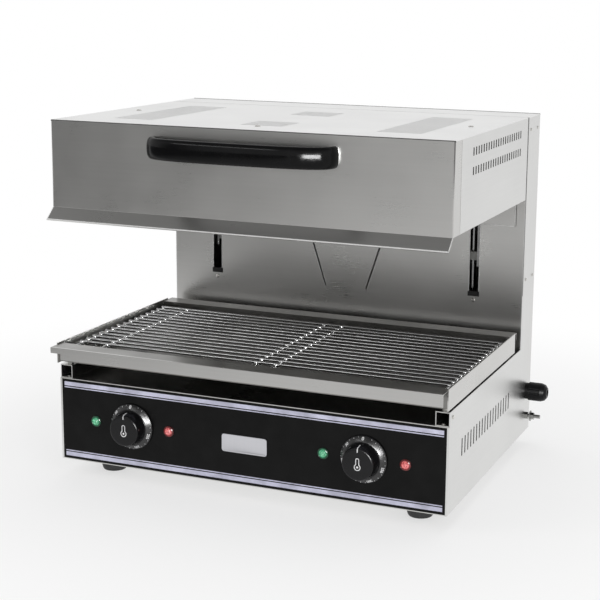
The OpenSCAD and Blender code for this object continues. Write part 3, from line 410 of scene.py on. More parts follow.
def soften(bm, edges, radius, segments):
    """Rounds edges."""
    bmesh.ops.bevel(bm, geom=edges, offset=radius, segments=segments, affect="EDGES", profile=0.5,
                    material=-1)


def block(bm, corner, opposite, round_edge=0.0):
    """A box between two opposite corners."""
    made = bmesh.ops.create_cube(bm, size=1)["verts"]
    corner, opposite = Vector(corner), Vector(opposite)
    bmesh.ops.scale(bm, vec=[abs(side) for side in opposite - corner], verts=made)
    bmesh.ops.translate(bm, vec=(corner + opposite) / 2, verts=made)
    if round_edge:
        soften(bm, list({e for v in made for e in v.link_edges}), round_edge, 2)


def rod(bm, start, end, diameter, sides=16):
    """A round bar between two places."""
    start, end = Vector(start), Vector(end)
    radius = diameter / 2
    made = bmesh.ops.create_cone(bm, cap_ends=True, segments=sides, radius1=radius, radius2=radius,
                                 depth=(end - start).length)["verts"]
    turn = (end - start).to_track_quat("Z", "Y").to_matrix()
    bmesh.ops.rotate(bm, cent=(0, 0, 0), matrix=turn, verts=made)
    bmesh.ops.translate(bm, vec=(start + end) / 2, verts=made)


def finished(bm):
    """The mesh with its normals outward."""
    bmesh.ops.recalc_face_normals(bm, faces=bm.faces)
    return bm


def settings(context):
    """The settings of stage, finishes and fine parts."""
    scene = context.scene
    return scene.grill_stage, scene.grill_finish, scene.grill_detail


# ---- stage


class GRILL_OT_stage(bpy.types.Operator):
    """Lays the pale floor, sets the soft light and the camera"""

    bl_idname = "grill.stage"
    bl_label = "Floor, light and camera"
    floor_size = 20
    # Name, place, size and power setting of each softbox, and whether it is only a highlight.
    softboxes = (
        ("front highlight", (1.05, -2.1, 0.6), (1.5, 1.1), "front_power", True),
        ("front core", (0.85, -2.0, 0.5), (1.4, 0.4), "core_power", True),
        ("left highlight", (-1.0, -1.7, 1.5), (1.0, 0.16), "strip_power", True),
        ("right softbox", (1.6, -1.6, 1.0), (0.9, 0.9), "key_power", False),
        ("left softbox", (-1.5, -1.3, 1.3), (1.0, 0.9), "fill_power", False),
        ("top softbox", (0.1, 0.1, 2.1), (1.6, 1.2), "top_power", False),
    )
    softbox_aim = Vector((0, -0.05, 0.28))
    sensor_width = 36
    camera_sight = 60

    def graded(self, tree, x, y, choice, ahead, front, flag):
        """What polished parts see: dimmed ahead of the grill, and dark where a flag stands at the left."""
        dimmed = tree.ranged(y, ahead, (1.0, choice.front_dim))
        flagged = tree.ranged(x, flag, (choice.flag_dim, 1.0))
        return tree.product(dimmed, tree.blend(1, flagged, tree.ranged(y, front, (0.0, 1.0))))

    def floor(self, choice):
        """A matt floor that turns white far from the grill and is graded where polished parts mirror it."""
        bm = bmesh.new()
        bmesh.ops.create_grid(bm, x_segments=1, y_segments=1, size=self.floor_size)
        mesh = bpy.data.meshes.new("floor")
        bm.to_mesh(mesh)
        bm.free()
        made = placed("floor", mesh)
        material = bpy.data.materials.new("pale floor")
        material.use_nodes = True
        mesh.materials.append(material)
        pale = NodeTree(material.node_tree)
        place = pale.node("ShaderNodeTexCoord")["Object"]
        paths = pale.node("ShaderNodeLightPath")
        # The spots of the changes are in metres on the floor.
        x, y, _ = pale.split(place)
        shown = self.graded(pale, x, y, choice, ahead=(-0.25, -0.9), front=(-0.2, -0.7), flag=(-1.5, -0.1))
        mirrored = pale.node("ShaderNodeEmission", {"Strength": shown})[0]
        matt = pale.node("ShaderNodeBsdfDiffuse", {"Color": (*choice.floor_colour, 1)})[0]
        white = pale.node("ShaderNodeEmission")[0]
        reach = pale.node("ShaderNodeVectorMath", {0: place}, operation="LENGTH")["Value"]
        far = pale.ranged(reach, (0.45, 1.1), (0.6, 1.0))
        seen = pale.shader_blend(matt, white, pale.product(paths["Is Camera Ray"], far))
        most = pale.product(pale.mirror_rays(paths), 0.85)
        pale.node("ShaderNodeOutputMaterial", {"Surface": pale.shader_blend(seen, mirrored, most)})

    def world(self, choice):
        """A bright room: white to the eye, graded where polished parts mirror it."""
        world = bpy.data.worlds.new("studio")
        bpy.context.scene.world = world
        world.use_nodes = True
        studio = NodeTree(world.node_tree)
        paths = studio.node("ShaderNodeLightPath")
        # The spots of the changes are shares of the direction in which a mirror looks.
        x, y, z = studio.split(studio.node("ShaderNodeTexCoord")["Generated"])
        level = self.graded(studio, x, y, choice, ahead=(0.25, -0.75), front=(-0.4, -0.8),
                            flag=(-0.68, -0.42))
        above = studio.ranged(z, (0.30, 0.85), (1.0, choice.zenith_dim))
        leaning = studio.ranged(y, (0.6, 0.15), (0.3, 1.0))
        shown = studio.product(level, studio.blend(1, above, leaning))
        soft, seen, mirrored = (
            studio.node("ShaderNodeBackground", {"Color": (1, 1, 1, 1), "Strength": strength})[0]
            for strength in (choice.sky, 1, shown)
        )
        around = studio.shader_blend(soft, mirrored, studio.mirror_rays(paths))
        whole = studio.shader_blend(around, seen, paths["Is Camera Ray"])
        studio.node("ShaderNodeOutputWorld", {"Surface": whole})

    def softbox(self, name, place, size, power, receivers):
        """A softbox that lights everything, or shows only as a highlight in some pieces."""
        data = bpy.data.lights.new(name, "AREA")
        data.shape = "RECTANGLE"
        data.size, data.size_y = size
        data.energy = power
        made = placed(name, data)
        made.visible_glossy = receivers is not None
        made.visible_diffuse = receivers is None
        if receivers:
            made.light_linking.receiver_collection = receivers
        turn = (self.softbox_aim - Vector(place)).to_track_quat("-Z", "Y").to_matrix()
        made.matrix_world = Matrix.Translation(place) @ turn.to_4x4()

    def glossy_pieces(self):
        """The pieces with small bright highlights; the flat sheets would turn white in these lamps."""
        group = bpy.data.collections.new("glossy_pieces")
        for made in bpy.data.objects:
            if made.name.startswith(GLOSSY_PIECES):
                group.objects.link(made)
        if not group.objects:
            raise RuntimeError("no glossy pieces: the stage comes after them")
        return group

    def camera(self, choice):
        data = bpy.data.cameras.new("camera")
        data.lens = choice.camera_lens
        data.sensor_width = self.sensor_width
        data.shift_x, data.shift_y = choice.camera_shift
        data.clip_end = self.camera_sight
        heading, dip, roll = choice.camera_heading, choice.camera_dip, choice.camera_roll
        level = math.cos(dip)
        forward = Vector((math.sin(heading) * level, math.cos(heading) * level, -math.sin(dip)))
        right = Vector((math.cos(heading), -math.sin(heading), 0))
        up = right.cross(forward)
        rolled_right = right * math.cos(roll) + up * math.sin(roll)
        rolled_up = up * math.cos(roll) - right * math.sin(roll)
        turn = Matrix((rolled_right, rolled_up, -forward)).transposed()
        made = placed("camera", data)
        made.matrix_world = Matrix.Translation(Vector(choice.camera_place)) @ turn.to_4x4()
        bpy.context.scene.camera = made

    def execute(self, context):
        choice = settings(context)[0]
        self.floor(choice)
        self.world(choice)
        glossy = self.glossy_pieces()
        for name, place, size, power, only_highlight in self.softboxes:
            self.softbox(name, place, size, getattr(choice, power), glossy if only_highlight else None)
        self.camera(choice)
        context.scene.view_settings.view_transform = "Standard"
        return {"FINISHED"}


# ---- sheet metal


class GRILL_OT_sheets(bpy.types.Operator):
    """Gives every sheet of cabinet, column, tray and hood its ground finish"""

    bl_idname = "grill.sheets"
    bl_label = "Sheet metal"

    # Colour and reach of the dark blotches behind the tray's lip: partly a baked film, partly painted shade
    # under the hood.
    stain_and_shade_colour = (0.15, 0.146, 0.137)
    film_start, film_full = 1.5 * MM, 5 * MM

    def execute(self, context):
        finish = settings(context)[1]
        # The sheets' tones by facing are painted light and shade on one steel.
        front = ground_sheet("front sheet", finish.front_sheet_shaded, ACROSS)
        dress(front.material, "back_panel", "hood_rear_plate", "base_top_plate", "base_floor", "rear_cover",
              *both("rail", "tray_side"))
        side = ground_sheet("side sheet", finish.side_sheet_lit, DEEP, rough=0.32, edge=0.0)
        dress(side.material, *both("base_side", "hood_side", "rail_cover"))
        column = ground_sheet("column sheet", finish.side_sheet_lit, UPRIGHT, rough=0.32, edge=0.0)
        dress(column.material, *both("column_side"))
        top = ground_sheet("top sheet", finish.top_sheet_lit, ACROSS, rough=0.36, edge=0.0)
        dress(top.material, "hood_top_panel", "column_top")
        self.tray(finish)
        return {"FINISHED"}

    def tray(self, finish):
        """The tray's sheet, darkened in blotches behind its lip: partly a baked film, partly painted shade
        under the hood.
        """
        front = low("drip_tray").y
        sheet = ground_sheet("tray sheet", tint(finish.front_sheet_shaded, 0.86), ACROSS)
        # Blotches of painted shade and baked film darken the pan behind the lip.
        stain_and_shade_blotches = sheet.spread(sheet.noise(9, detail=4, roughness=0.6), 0.6, 0.9)
        lip_end = (front + self.film_start, front + self.film_full)
        behind_lip = sheet.ranged(sheet.split(sheet.place)["Y"], lip_end, (0, 1))
        sheet.film(self.stain_and_shade_colour, sheet.product(behind_lip, stain_and_shade_blotches))
        dress(sheet.material, "drip_tray")


class GRILL_OT_hood_front(bpy.types.Operator):
    """Folds the hood's front panel, with its returns, flared lip and hem"""

    bl_idname = "grill.hood_front"
    bl_label = "Hood front"

    long_edge = 0.1
    large_face = 2000 * MM * MM

    def runs_along(self, edge, axis):
        """Whether an edge is long in the direction of an axis."""
        return abs((edge.verts[0].co - edge.verts[1].co)[axis]) > self.long_edge

    def panel(self, lowest, highest, front, return_low, material, detail):
        """The panel with its side returns and its flared lip, folded from one sheet."""
        node = "hood_front_panel"
        bm = bmesh.new()
        outline = [
            (front, highest.z - detail.hem / 2),
            (front, return_low),
            (lowest.y, lowest.z + detail.hem / 4),
        ]
        left = [bm.verts.new((lowest.x, y, z)) for y, z in outline]
        right = [bm.verts.new((highest.x, y, z)) for y, z in outline]
        for i in range(2):
            bm.faces.new((left[i], left[i + 1], right[i + 1], right[i]))
        for side in (left, right):
            rear = [bm.verts.new((v.co.x, highest.y, v.co.z)) for v in side[:2]]
            bm.faces.new((side[0], rear[0], rear[1], side[1]))
        finished(bm)
        outward = next(f for f in bm.faces if abs(f.normal.y) > 0.99)
        if outward.normal.y > 0:
            bmesh.ops.reverse_faces(bm, faces=bm.faces)
        for axis, radius in ((0, detail.sheet / 4), (2, detail.fold)):
            folds = [e for e in bm.edges if len(e.link_faces) == 2 and self.runs_along(e, axis)]
            soften(bm, folds, radius, 4)
        made = as_piece(bm, "hood_front_folded", "hood", material, (node,),
                        flat_area=self.large_face)
        wall = made.modifiers.new("wall", "SOLIDIFY")
        wall.thickness = detail.sheet
        wall.offset = -1

    def execute(self, context):
        _, finish, detail = settings(context)
        lowest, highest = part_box("hood_front_panel")
        return_low = low("hood_side_right").z
        front = low("hood_top_panel").y - detail.sheet
        steel = ground_sheet("hood front sheet", finish.front_sheet_shaded, ACROSS, edge=0.0)
        self.panel(lowest, highest, front, return_low, steel.material, detail)
        hem = bmesh.new()
        hem_y, hem_z = lowest.y + detail.hem / 2, lowest.z + detail.hem / 2
        rod(hem, (lowest.x, hem_y, hem_z), (highest.x, hem_y, hem_z), detail.hem)
        edge_d = detail.sheet * 1.1
        for x in (lowest.x + edge_d / 2, highest.x - edge_d / 2):
            rod(hem, (x, front + edge_d / 4, return_low), (x, hem_y, hem_z), edge_d, 10)
        # The hem and the return edges are lighter than the sheet: a burnished edge with a painted highlight.
        bright = highlit_cut_edge("bright hem", tint(finish.side_sheet_lit, 1.2))
        as_piece(hem, "lip_hem", "hood", bright)
        # A darkened rod along the panel's top edge: a painted shade line.
        fold = bmesh.new()
        fold_y, fold_z = front + detail.hem / 2, highest.z - detail.hem / 2
        rod(fold, (lowest.x, fold_y, fold_z), (highest.x, fold_y, fold_z), detail.hem)
        shaded = turned_metal("shaded top fold", tint(finish.front_sheet_shaded, 0.3), rough=0.4)
        as_piece(fold, "top_fold", "hood", shaded)
        return {"FINISHED"}


class GRILL_OT_trim(bpy.types.Operator):
    """Adds slot, skirt and return edges with painted highlights, and the column's folds as painted shade
    lines
    """

    bl_idname = "grill.trim"
    bl_label = "Sheet edges"

    proud = 0.35 * MM
    edge_round = 0.12 * MM
    slot_rim, slot_w, slot_edge_w = 1.6 * MM, 15 * MM, 1.2 * MM
    slot_top_drop = 22 * MM
    slant_lean = math.radians(18)
    slant_foot = 218 * MM
    slant_aside, slant_apart = 8 * MM, 35 * MM
    slant_l, slant_half_w, slant_edge_d = 190 * MM, 1.6 * MM, 0.6 * MM
    skirt_inset, skirt_edge_w, skirt_edge_h = 12.8 * MM, 1.4 * MM, 1.2 * MM
    return_sunk, return_edge_w, return_rise = 0.2 * MM, 1.1 * MM, 0.5 * MM
    column_fold_d = 2.0 * MM
    corner_fold_l, corner_fold_w, corner_drop = 150 * MM, 3 * MM, 0.2 * MM
    corner_sunk, corner_proud = 0.3 * MM, 0.1 * MM

    def slot_edges(self, bm):
        """Edges of the two guide slots and of the two slanting slots."""
        front = low("back_panel").y
        stops_low, stops_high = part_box("slot_stops")
        top = high("column_top").z - self.slot_top_drop
        for outer, inward in ((stops_low.x, 1), (stops_high.x, -1)):
            near = outer + inward * self.slot_rim
            far = near + inward * self.slot_w
            for x, away in ((near, -inward), (far, inward)):
                block(bm, (x, front - self.proud, stops_high.z),
                      (x + away * self.slot_edge_w, front, top), self.edge_round)
        foot_z = low("base_floor").z + self.slant_foot
        middle_x = middle("back_panel").x + self.slant_aside
        for side in (-1, 1):
            along = Vector((side * math.sin(self.slant_lean), 0, math.cos(self.slant_lean)))
            across = Vector((math.cos(self.slant_lean), 0, -side * math.sin(self.slant_lean)))
            foot = Vector((middle_x + side * self.slant_apart, front, foot_z))
            for edge in (-1, 1):
                start = foot + across * edge * self.slant_half_w
                rod(bm, start, start + along * self.slant_l, self.slant_edge_d, 8)

    def hood_edges(self, bm):
        """Edges of the rear plate's skirt and of the front panel's side returns."""
        skirt_low, skirt_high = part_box("hood_rear_plate")
        side_low, side_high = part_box("hood_side_right")
        skirt_front = skirt_low.y - self.proud
        left, right = skirt_low.x + self.skirt_inset, skirt_high.x - self.skirt_inset
        for x, away in ((left, 1), (right, -1)):
            block(bm, (x, skirt_front, skirt_low.z),
                  (x + away * self.skirt_edge_w, skirt_low.y, side_low.z), self.edge_round)
        block(bm, (left, skirt_front, skirt_low.z),
              (right, skirt_low.y, skirt_low.z + self.skirt_edge_h), self.edge_round)
        for x, away in ((side_high.x, 1), (low("hood_side_left").x, -1)):
            block(bm, (x - away * self.return_sunk, side_low.y - self.return_edge_w,
                       side_low.z + self.return_rise),
                  (x + away * self.proud, side_low.y, side_high.z), self.edge_round)

    def dark_edges(self, bm):
        """The shaded folds along the column's rear top edge and down its front corners."""
        top_low, top_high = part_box("column_top")
        fold_y = top_high.y - self.column_fold_d / 2
        fold_z = top_high.z - self.column_fold_d / 4
        rod(bm, (top_low.x, fold_y, fold_z), (top_high.x, fold_y, fold_z), self.column_fold_d, 12)
        front = low("column_side_right").y
        foot = low("hood_side_right").z - self.corner_fold_l
        for x, away in ((high("column_side_right").x, 1), (low("column_side_left").x, -1)):
            block(bm, (x - away * self.corner_sunk, front + self.corner_proud, foot),
                  (x + away * self.corner_proud, front + self.corner_fold_w, top_high.z - self.corner_drop))

    def execute(self, context):
        finish = settings(context)[1]
        # The slot and hood edges are lighter than the sheet: a painted highlight.
        bright = highlit_cut_edge("bright edge", tint(finish.side_sheet_lit, 1.2))
        # The column's folds are darkened steel: painted shade lines.
        shaded = turned_metal("shaded fold", tint(finish.front_sheet_shaded, 0.25), rough=0.4)
        folds = bmesh.new()
        self.dark_edges(folds)
        as_piece(finished(folds), "column_folds", "cabinet", shaded)
        slots, hood = bmesh.new(), bmesh.new()
        self.slot_edges(slots)
        self.hood_edges(hood)
        as_piece(finished(slots), "slot_edges", "cabinet", bright)
        as_piece(finished(hood), "hood_edges", "hood", bright)
        return {"FINISHED"}


# ---- controls


class GRILL_OT_fascia(bpy.types.Operator):
    """Finishes the black fascia, its stripes and the blank plate"""

    bl_idname = "grill.fascia"
    bl_label = "Control fascia"

    corner_radius, edge_radius = 4 * MM, 0.5 * MM
    rim_w, step_w, step_d = 1.2 * MM, 0.4 * MM, 0.25 * MM

    def front_face(self, bm):
        """The largest of the faces that look to the front."""
        return max((f for f in bm.faces if f.normal.y < -0.9), key=lambda f: f.calc_area())

    def execute(self, context):
        finish = settings(context)[1]
        dress(moulded("fascia enamel", finish.enamel, rough=0.20, gloss=0.10, pits=260, depth=0.01 * MM),
              "control_fascia")
        dress(moulded("stripe print", finish.stripe, rough=0.45, gloss=0.3, edge=0.0), "fascia_stripes")
        low_corner, high_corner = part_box("badge_plate")
        bm = bmesh.new()
        block(bm, low_corner, high_corner)
        finished(bm)
        upright = [e for e in bm.edges if abs((e.verts[0].co - e.verts[1].co).normalized().y) > 0.9]
        soften(bm, upright, self.corner_radius, 8)
        soften(bm, list(self.front_face(bm).edges), self.edge_radius, 3)
        for width, step in ((self.rim_w, 0.0), (self.step_w, self.step_d)):
            bmesh.ops.inset_individual(bm, faces=[self.front_face(bm)], thickness=width, depth=-step)
        plate = ground_sheet("plate silver", (0.60, 0.60, 0.63), UPRIGHT, rough=0.30)
        as_piece(finished(bm), "blank_plate", "cabinet", plate.material, ("badge_plate",))
        return {"FINISHED"}


class GRILL_OT_knobs(bpy.types.Operator):
    """Turns both knobs with their dials, numbers, thermometer mark and pointer"""

    bl_idname = "grill.knobs"
    bl_label = "Knobs"

    # The knob's sections and marks are in millimetres; a section point is (radius, height).
    slope_inner, slope_outer = (27.3, 6.2), (33.2, 1.9)
    number_step, parts_between = 50, 4
    digit_thick, digit_bold, digit_lift, zero_larger = 0.05, 0.18, 0.02, 1.25
    tick_top, tick_long, tick_short, tick_d = 2.9, 1.6, 0.9, 0.7
    print_lift, mark_lift = 0.03, 0.12
    stem_half, bulb, drop, rise, stroke, drop_d = 2.8, 4.8, -4.0, 6.2, 1.15, 3.0
    thermometer_low = 0.48
    # The pointer: its block on the face, then (radius, depth) over the edge, at the shoulder and its end.
    pointer_low, pointer_high, pointer_round = (-0.75, -0.05, 17.0), (0.75, 0.6, 21.4), 0.05
    over_edge, shoulder, pointer_end = (21.2, 0.4), (22.95, 1.73), (23.95, 10.03)
    pointer_d = 1.4

    def cap(self, depth):
        """Half section of the cap, from the middle of its face to the dial."""
        face = [(0, depth - 0.5), (8, depth - 0.45), (16, depth - 0.2), (19.6, depth), (21.0, depth - 0.12),
                (22.0, depth - 0.5), (22.6, depth - 1.1), (22.95, depth - 2.0)]
        foot = [(25.2, 8.2), (25.35, 7.2), (25.8, 6.6), (26.4, 6.4), (0, 6.4)]
        return [(r * MM, d * MM) for r, d in face + foot]

    def dial(self):
        """Half section of the dial, from its ledge over the slope and rim to its back."""
        ledge = [(0, 6.45), (26.7, 6.45), self.slope_inner, self.slope_outer]
        rim = [(33.8, 1.3), (34.0, 0.8), (33.8, 0.25), (33.0, 0.0)]
        back = [(4.0, 0.0), (4.0, 2.0), (0, 2.0)]
        return [(r * MM, d * MM) for r, d in ledge + rim + back]

    def on_slope(self, centre, angle, across, up, lift):
        """A place on the dial's slope, from its angle and how far it is across, up and off the slope."""
        rise = self.slope_inner[1] - self.slope_outer[1]
        run = self.slope_outer[0] - self.slope_inner[0]
        slant = math.hypot(rise, run)
        radius = (self.slope_inner[0] + self.slope_outer[0]) / 2 + (up * run + lift * rise) / slant
        height = (self.slope_inner[1] + self.slope_outer[1]) / 2 + (lift * run - up * rise) / slant
        turn = angle - across / radius
        return centre + Vector((radius * math.cos(turn), -height, radius * math.sin(turn))) * MM

    def digits(self, bm, text, size, centre, angle):
        """Adds a number as thin print wrapped round the dial's slope."""
        curve = bpy.data.curves.new("digits", "FONT")
        curve.body = text
        curve.size = size / MM
        curve.extrude = self.digit_thick
        curve.offset = self.digit_bold
        curve.align_x, curve.align_y = "CENTER", "CENTER"
        curve.resolution_u = 3
        holder = placed("digits", curve)
        mesh = bpy.data.meshes.new_from_object(holder)
        for vert in mesh.vertices:
            vert.co = self.on_slope(centre, angle, vert.co.x, vert.co.y, vert.co.z + self.digit_lift)
        bm.from_mesh(mesh)
        bpy.data.objects.remove(holder)
        bpy.data.curves.remove(curve)
        bpy.data.meshes.remove(mesh)

    def print_on(self, centre, detail):
        """Numbers round the dial's slope, and the ticks between them."""
        bm = bmesh.new()
        step = math.radians(self.number_step)
        for i in range(detail.dial_steps):
            angle = TURN / 4 + i * step
            size = detail.digit * (self.zero_larger if i == 0 else 1.0)
            self.digits(bm, str(i * self.number_step), size, centre, angle)
            for part in range(1, self.parts_between):
                tick = angle + step * part / self.parts_between
                length = self.tick_long if part * 2 == self.parts_between else self.tick_short
                rod(bm, self.on_slope(centre, tick, 0, self.tick_top - length, self.print_lift),
                    self.on_slope(centre, tick, 0, self.tick_top, self.print_lift), self.tick_d * MM, 8)
        return bm

    def thermometer(self, bm, centre):
        """A thermometer's outline, raised on the cap, with a drop in its bulb."""

        def arc(radius, height, start, end, steps):
            turns = [start + (end - start) * i / steps for i in range(steps + 1)]
            return [(radius * math.sin(turn), height + radius * math.cos(turn)) for turn in turns]

        rings = []
        for inset in (0.0, self.stroke):
            width, radius = self.stem_half - inset, self.bulb - inset
            gap = math.asin(width / radius)
            outline = arc(radius, self.drop, gap, TURN - gap, 24)
            outline += arc(width, self.rise, -TURN / 4, TURN / 4, 8)
            verts = [bm.verts.new(centre + Vector((x, 0, z)) * MM) for x, z in outline]
            rings.append([bm.edges.new((verts[i - 1], verts[i])) for i in range(len(verts))])
        made = bmesh.ops.bridge_loops(bm, edges=rings[0] + rings[1])["faces"]
        raised = bmesh.ops.extrude_face_region(bm, geom=made)["geom"]
        lift = Vector((0, -self.mark_lift * MM, 0))
        bmesh.ops.translate(bm, vec=lift, verts=[g for g in raised if isinstance(g, bmesh.types.BMVert)])
        centre_of_bulb = centre + Vector((0, 0, self.drop * MM))
        rod(bm, centre_of_bulb, centre_of_bulb + lift, self.drop_d * MM, 20)

    def pointer(self, bm, back, depth):
        """A white line over the cap's edge and back along its side."""
        face = back + Vector((0, -(depth + self.print_lift) * MM, 0))
        block(bm, face + Vector(self.pointer_low) * MM, face + Vector(self.pointer_high) * MM,
              self.pointer_round * MM)
        edge, shoulder, end = (
            face + Vector((0, behind, radius)) * MM
            for radius, behind in (self.over_edge, self.shoulder, self.pointer_end)
        )
        rod(bm, shoulder, end, self.pointer_d * MM, 10)
        rod(bm, edge, shoulder, self.pointer_d * MM, 10)

    def execute(self, context):
        _, finish, detail = settings(context)
        black = moulded("cap plastic", tint(finish.plastic, 0.6), rough=0.2, gloss=0.22)
        satin = moulded("dial plastic", tint(finish.plastic, 0.5), rough=0.26, gloss=0.6)
        white = moulded("dial print", (0.86, 0.86, 0.88), rough=0.5, gloss=0.3, edge=0.0)
        for side in ("left", "right"):
            node = "knob_" + side
            back = Vector((middle(node).x, high(node).y, middle(node).z))
            depth = (high(node).y - low(node).y) / MM
            caps, dials = bmesh.new(), bmesh.new()
            turned(caps, self.cap(depth), back, (0, -1, 0))
            turned(dials, self.dial(), back, (0, -1, 0))
            as_piece(finished(caps), "knob_cap_" + side, node, black, (node,))
            as_piece(finished(dials), "knob_dial_" + side, node, satin, (node,))
            marks = self.print_on(back, detail)
            self.thermometer(marks, back + Vector((0, -(depth - self.thermometer_low) * MM, 0)))
            self.pointer(marks, back, depth)
            as_piece(finished(marks), "dial_print_" + side, node, white)
        return {"FINISHED"}


class GRILL_OT_lamps(bpy.types.Operator):
    """Makes the faceted signal lamps with their rims"""

    bl_idname = "grill.lamps"
    bl_label = "Signal lamps"

    glow = 0.25
    lens_share = 0.80
    # The rim's section: shares of the lamp's radius, and heights in millimetres.
    ring = ((0.74, 0.0), (0.74, 2.0), (0.80, 2.7), (0.90, 2.4), (1.0, 1.3), (1.0, 0.0), (0.74, 0.0))

    def lamp(self, bm, centre, radius, height):
        """The front half of a faceted ball."""
        made = bmesh.ops.create_icosphere(bm, subdivisions=2, radius=1)["verts"]
        behind = [v for v in made if v.co.y > 0.05]
        bmesh.ops.delete(bm, geom=behind, context="VERTS")
        kept = [v for v in made if v.is_valid]
        wide = radius * self.lens_share
        bmesh.ops.scale(bm, vec=(wide, height, wide), verts=kept)
        bmesh.ops.translate(bm, vec=centre, verts=kept)

    def rim(self, bm, centre, radius):
        turned(bm, [(radius * r, d * MM) for r, d in self.ring], centre, (0, -1, 0))

    def execute(self, context):
        finish = settings(context)[1]
        for name, colour in (("green", finish.green), ("red", finish.red)):
            node = name + "_lamps"
            lowest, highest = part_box(node)
            radius = (highest.z - lowest.z) / 2
            face_y = low("control_fascia").y
            height = face_y - lowest.y
            glass = lens(name + " lens", colour, self.glow)
            bm, rims = bmesh.new(), bmesh.new()
            for x in (lowest.x + radius, highest.x - radius):
                centre = Vector((x, face_y, middle(node).z))
                self.lamp(bm, centre, radius, height)
                self.rim(rims, centre, radius)
            as_piece(finished(bm), name + "_lenses", "cabinet", glass, (node,),
                     sharp=math.radians(5))
            shade = moulded(name + " rim", tint(colour, 0.22), rough=0.2, gloss=0.5)
            as_piece(finished(rims), name + "_rims", "cabinet", shade)
        return {"FINISHED"}


# ---- handle


class GRILL_OT_handle(bpy.types.Operator):
    """Sweeps the glossy bow handle"""

    bl_idname = "grill.handle"
    bl_label = "Handle"

    quarter, around = 30, 32
    # How far the curve's handles reach: out from the foot, and from the middle's height to the side.
    foot_pull, middle_pull = 0.86, 0.70

    def bow(self, half_l, reach):
        """The bow's line from its left foot over its middle to its right foot."""
        left = interpolate_bezier(
            Vector((-half_l, 0, 0)), Vector((-half_l, -reach * self.foot_pull, 0)),
            Vector((-half_l * self.middle_pull, -reach, 0)), Vector((0, -reach, 0)), self.quarter,
        )
        return left + [Vector((-spot.x, spot.y, 0)) for spot in reversed(left[:-1])]

    def execute(self, context):
        _, finish, detail = settings(context)
        lowest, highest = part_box("handle")
        half_h = (highest.z - lowest.z) / 2
        half_t = detail.grip_thick / 2
        line = self.bow((highest.x - lowest.x) / 2 - half_t, highest.y - lowest.y - half_t)
        last = len(line) - 1
        centre = Vector((middle("handle").x, highest.y, middle("handle").z))
        bm = bmesh.new()
        loops = []
        power = 2 / detail.grip_square
        for i, spot in enumerate(line):
            before, after = line[max(0, i - 1)], line[min(last, i + 1)]
            along = (after - before).normalized()
            if i in (0, last):
                along = Vector((0, -1 if i == 0 else 1, 0))
            out = Vector((along.y, -along.x, 0))
            verts = []
            for j in range(self.around):
                turn = TURN * j / self.around
                u = math.copysign(abs(math.cos(turn)) ** power, math.cos(turn))
                v = math.copysign(abs(math.sin(turn)) ** power, math.sin(turn))
                verts.append(bm.verts.new(centre + spot + out * u * half_t + Vector((0, 0, v * half_h))))
            loops.append([bm.edges.new((verts[j - 1], verts[j])) for j in range(self.around)])
        for first, second in zip(loops, loops[1:]):
            bmesh.ops.bridge_loops(bm, edges=first + second)
        bmesh.ops.holes_fill(bm, edges=loops[0] + loops[-1], sides=self.around)
        gloss = moulded("handle gloss", tint(finish.plastic, 0.3), rough=0.12, gloss=0.14, pits=30,
                        depth=0.15 * MM, edge=0.0)
        as_piece(finished(bm), "handle_bow", "hood", gloss, ("handle",),
                 sharp=math.radians(60))
        return {"FINISHED"}


# ---- feet, screws, connections


class GRILL_OT_feet(bpy.types.Operator):
    """Turns the rubber feet"""

    bl_idname = "grill.feet"
    bl_label = "Rubber feet"

    # Radii and heights in millimetres.
    wide, narrow = 23.0, 18.0

    def section(self, tall):
        """Half section of a foot, from its sole up to the cabinet."""
        sole = [(0, 0), (self.narrow - 3.5, 0), (self.narrow - 1.2, 0.7), (self.narrow, 2.6),
                (self.narrow + 0.9, 6.0)]
        top = [(self.wide - 1.8, 14.0), (self.wide - 0.6, tall - 5), (self.wide, tall - 3),
               (self.wide, tall - 0.6), (self.wide - 0.6, tall), (0, tall)]
        return [(r * MM, d * MM) for r, d in sole + top]

    def execute(self, context):
        finish = settings(context)[1]
        lowest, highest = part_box("feet")
        outline = self.section(low("base_floor").z / MM)
        inset = self.wide * MM
        bm = bmesh.new()
        for x in (lowest.x + inset, highest.x - inset):
            for y in (lowest.y + inset, highest.y - inset):
                turned(bm, outline, Vector((x, y, 0)), (0, 0, 1))
        rubber = moulded("foot rubber", finish.rubber, rough=0.62, gloss=0.35, pits=900, depth=0.08 * MM)
        as_piece(finished(bm), "feet_turned", "cabinet", rubber, ("feet",))
        return {"FINISHED"}


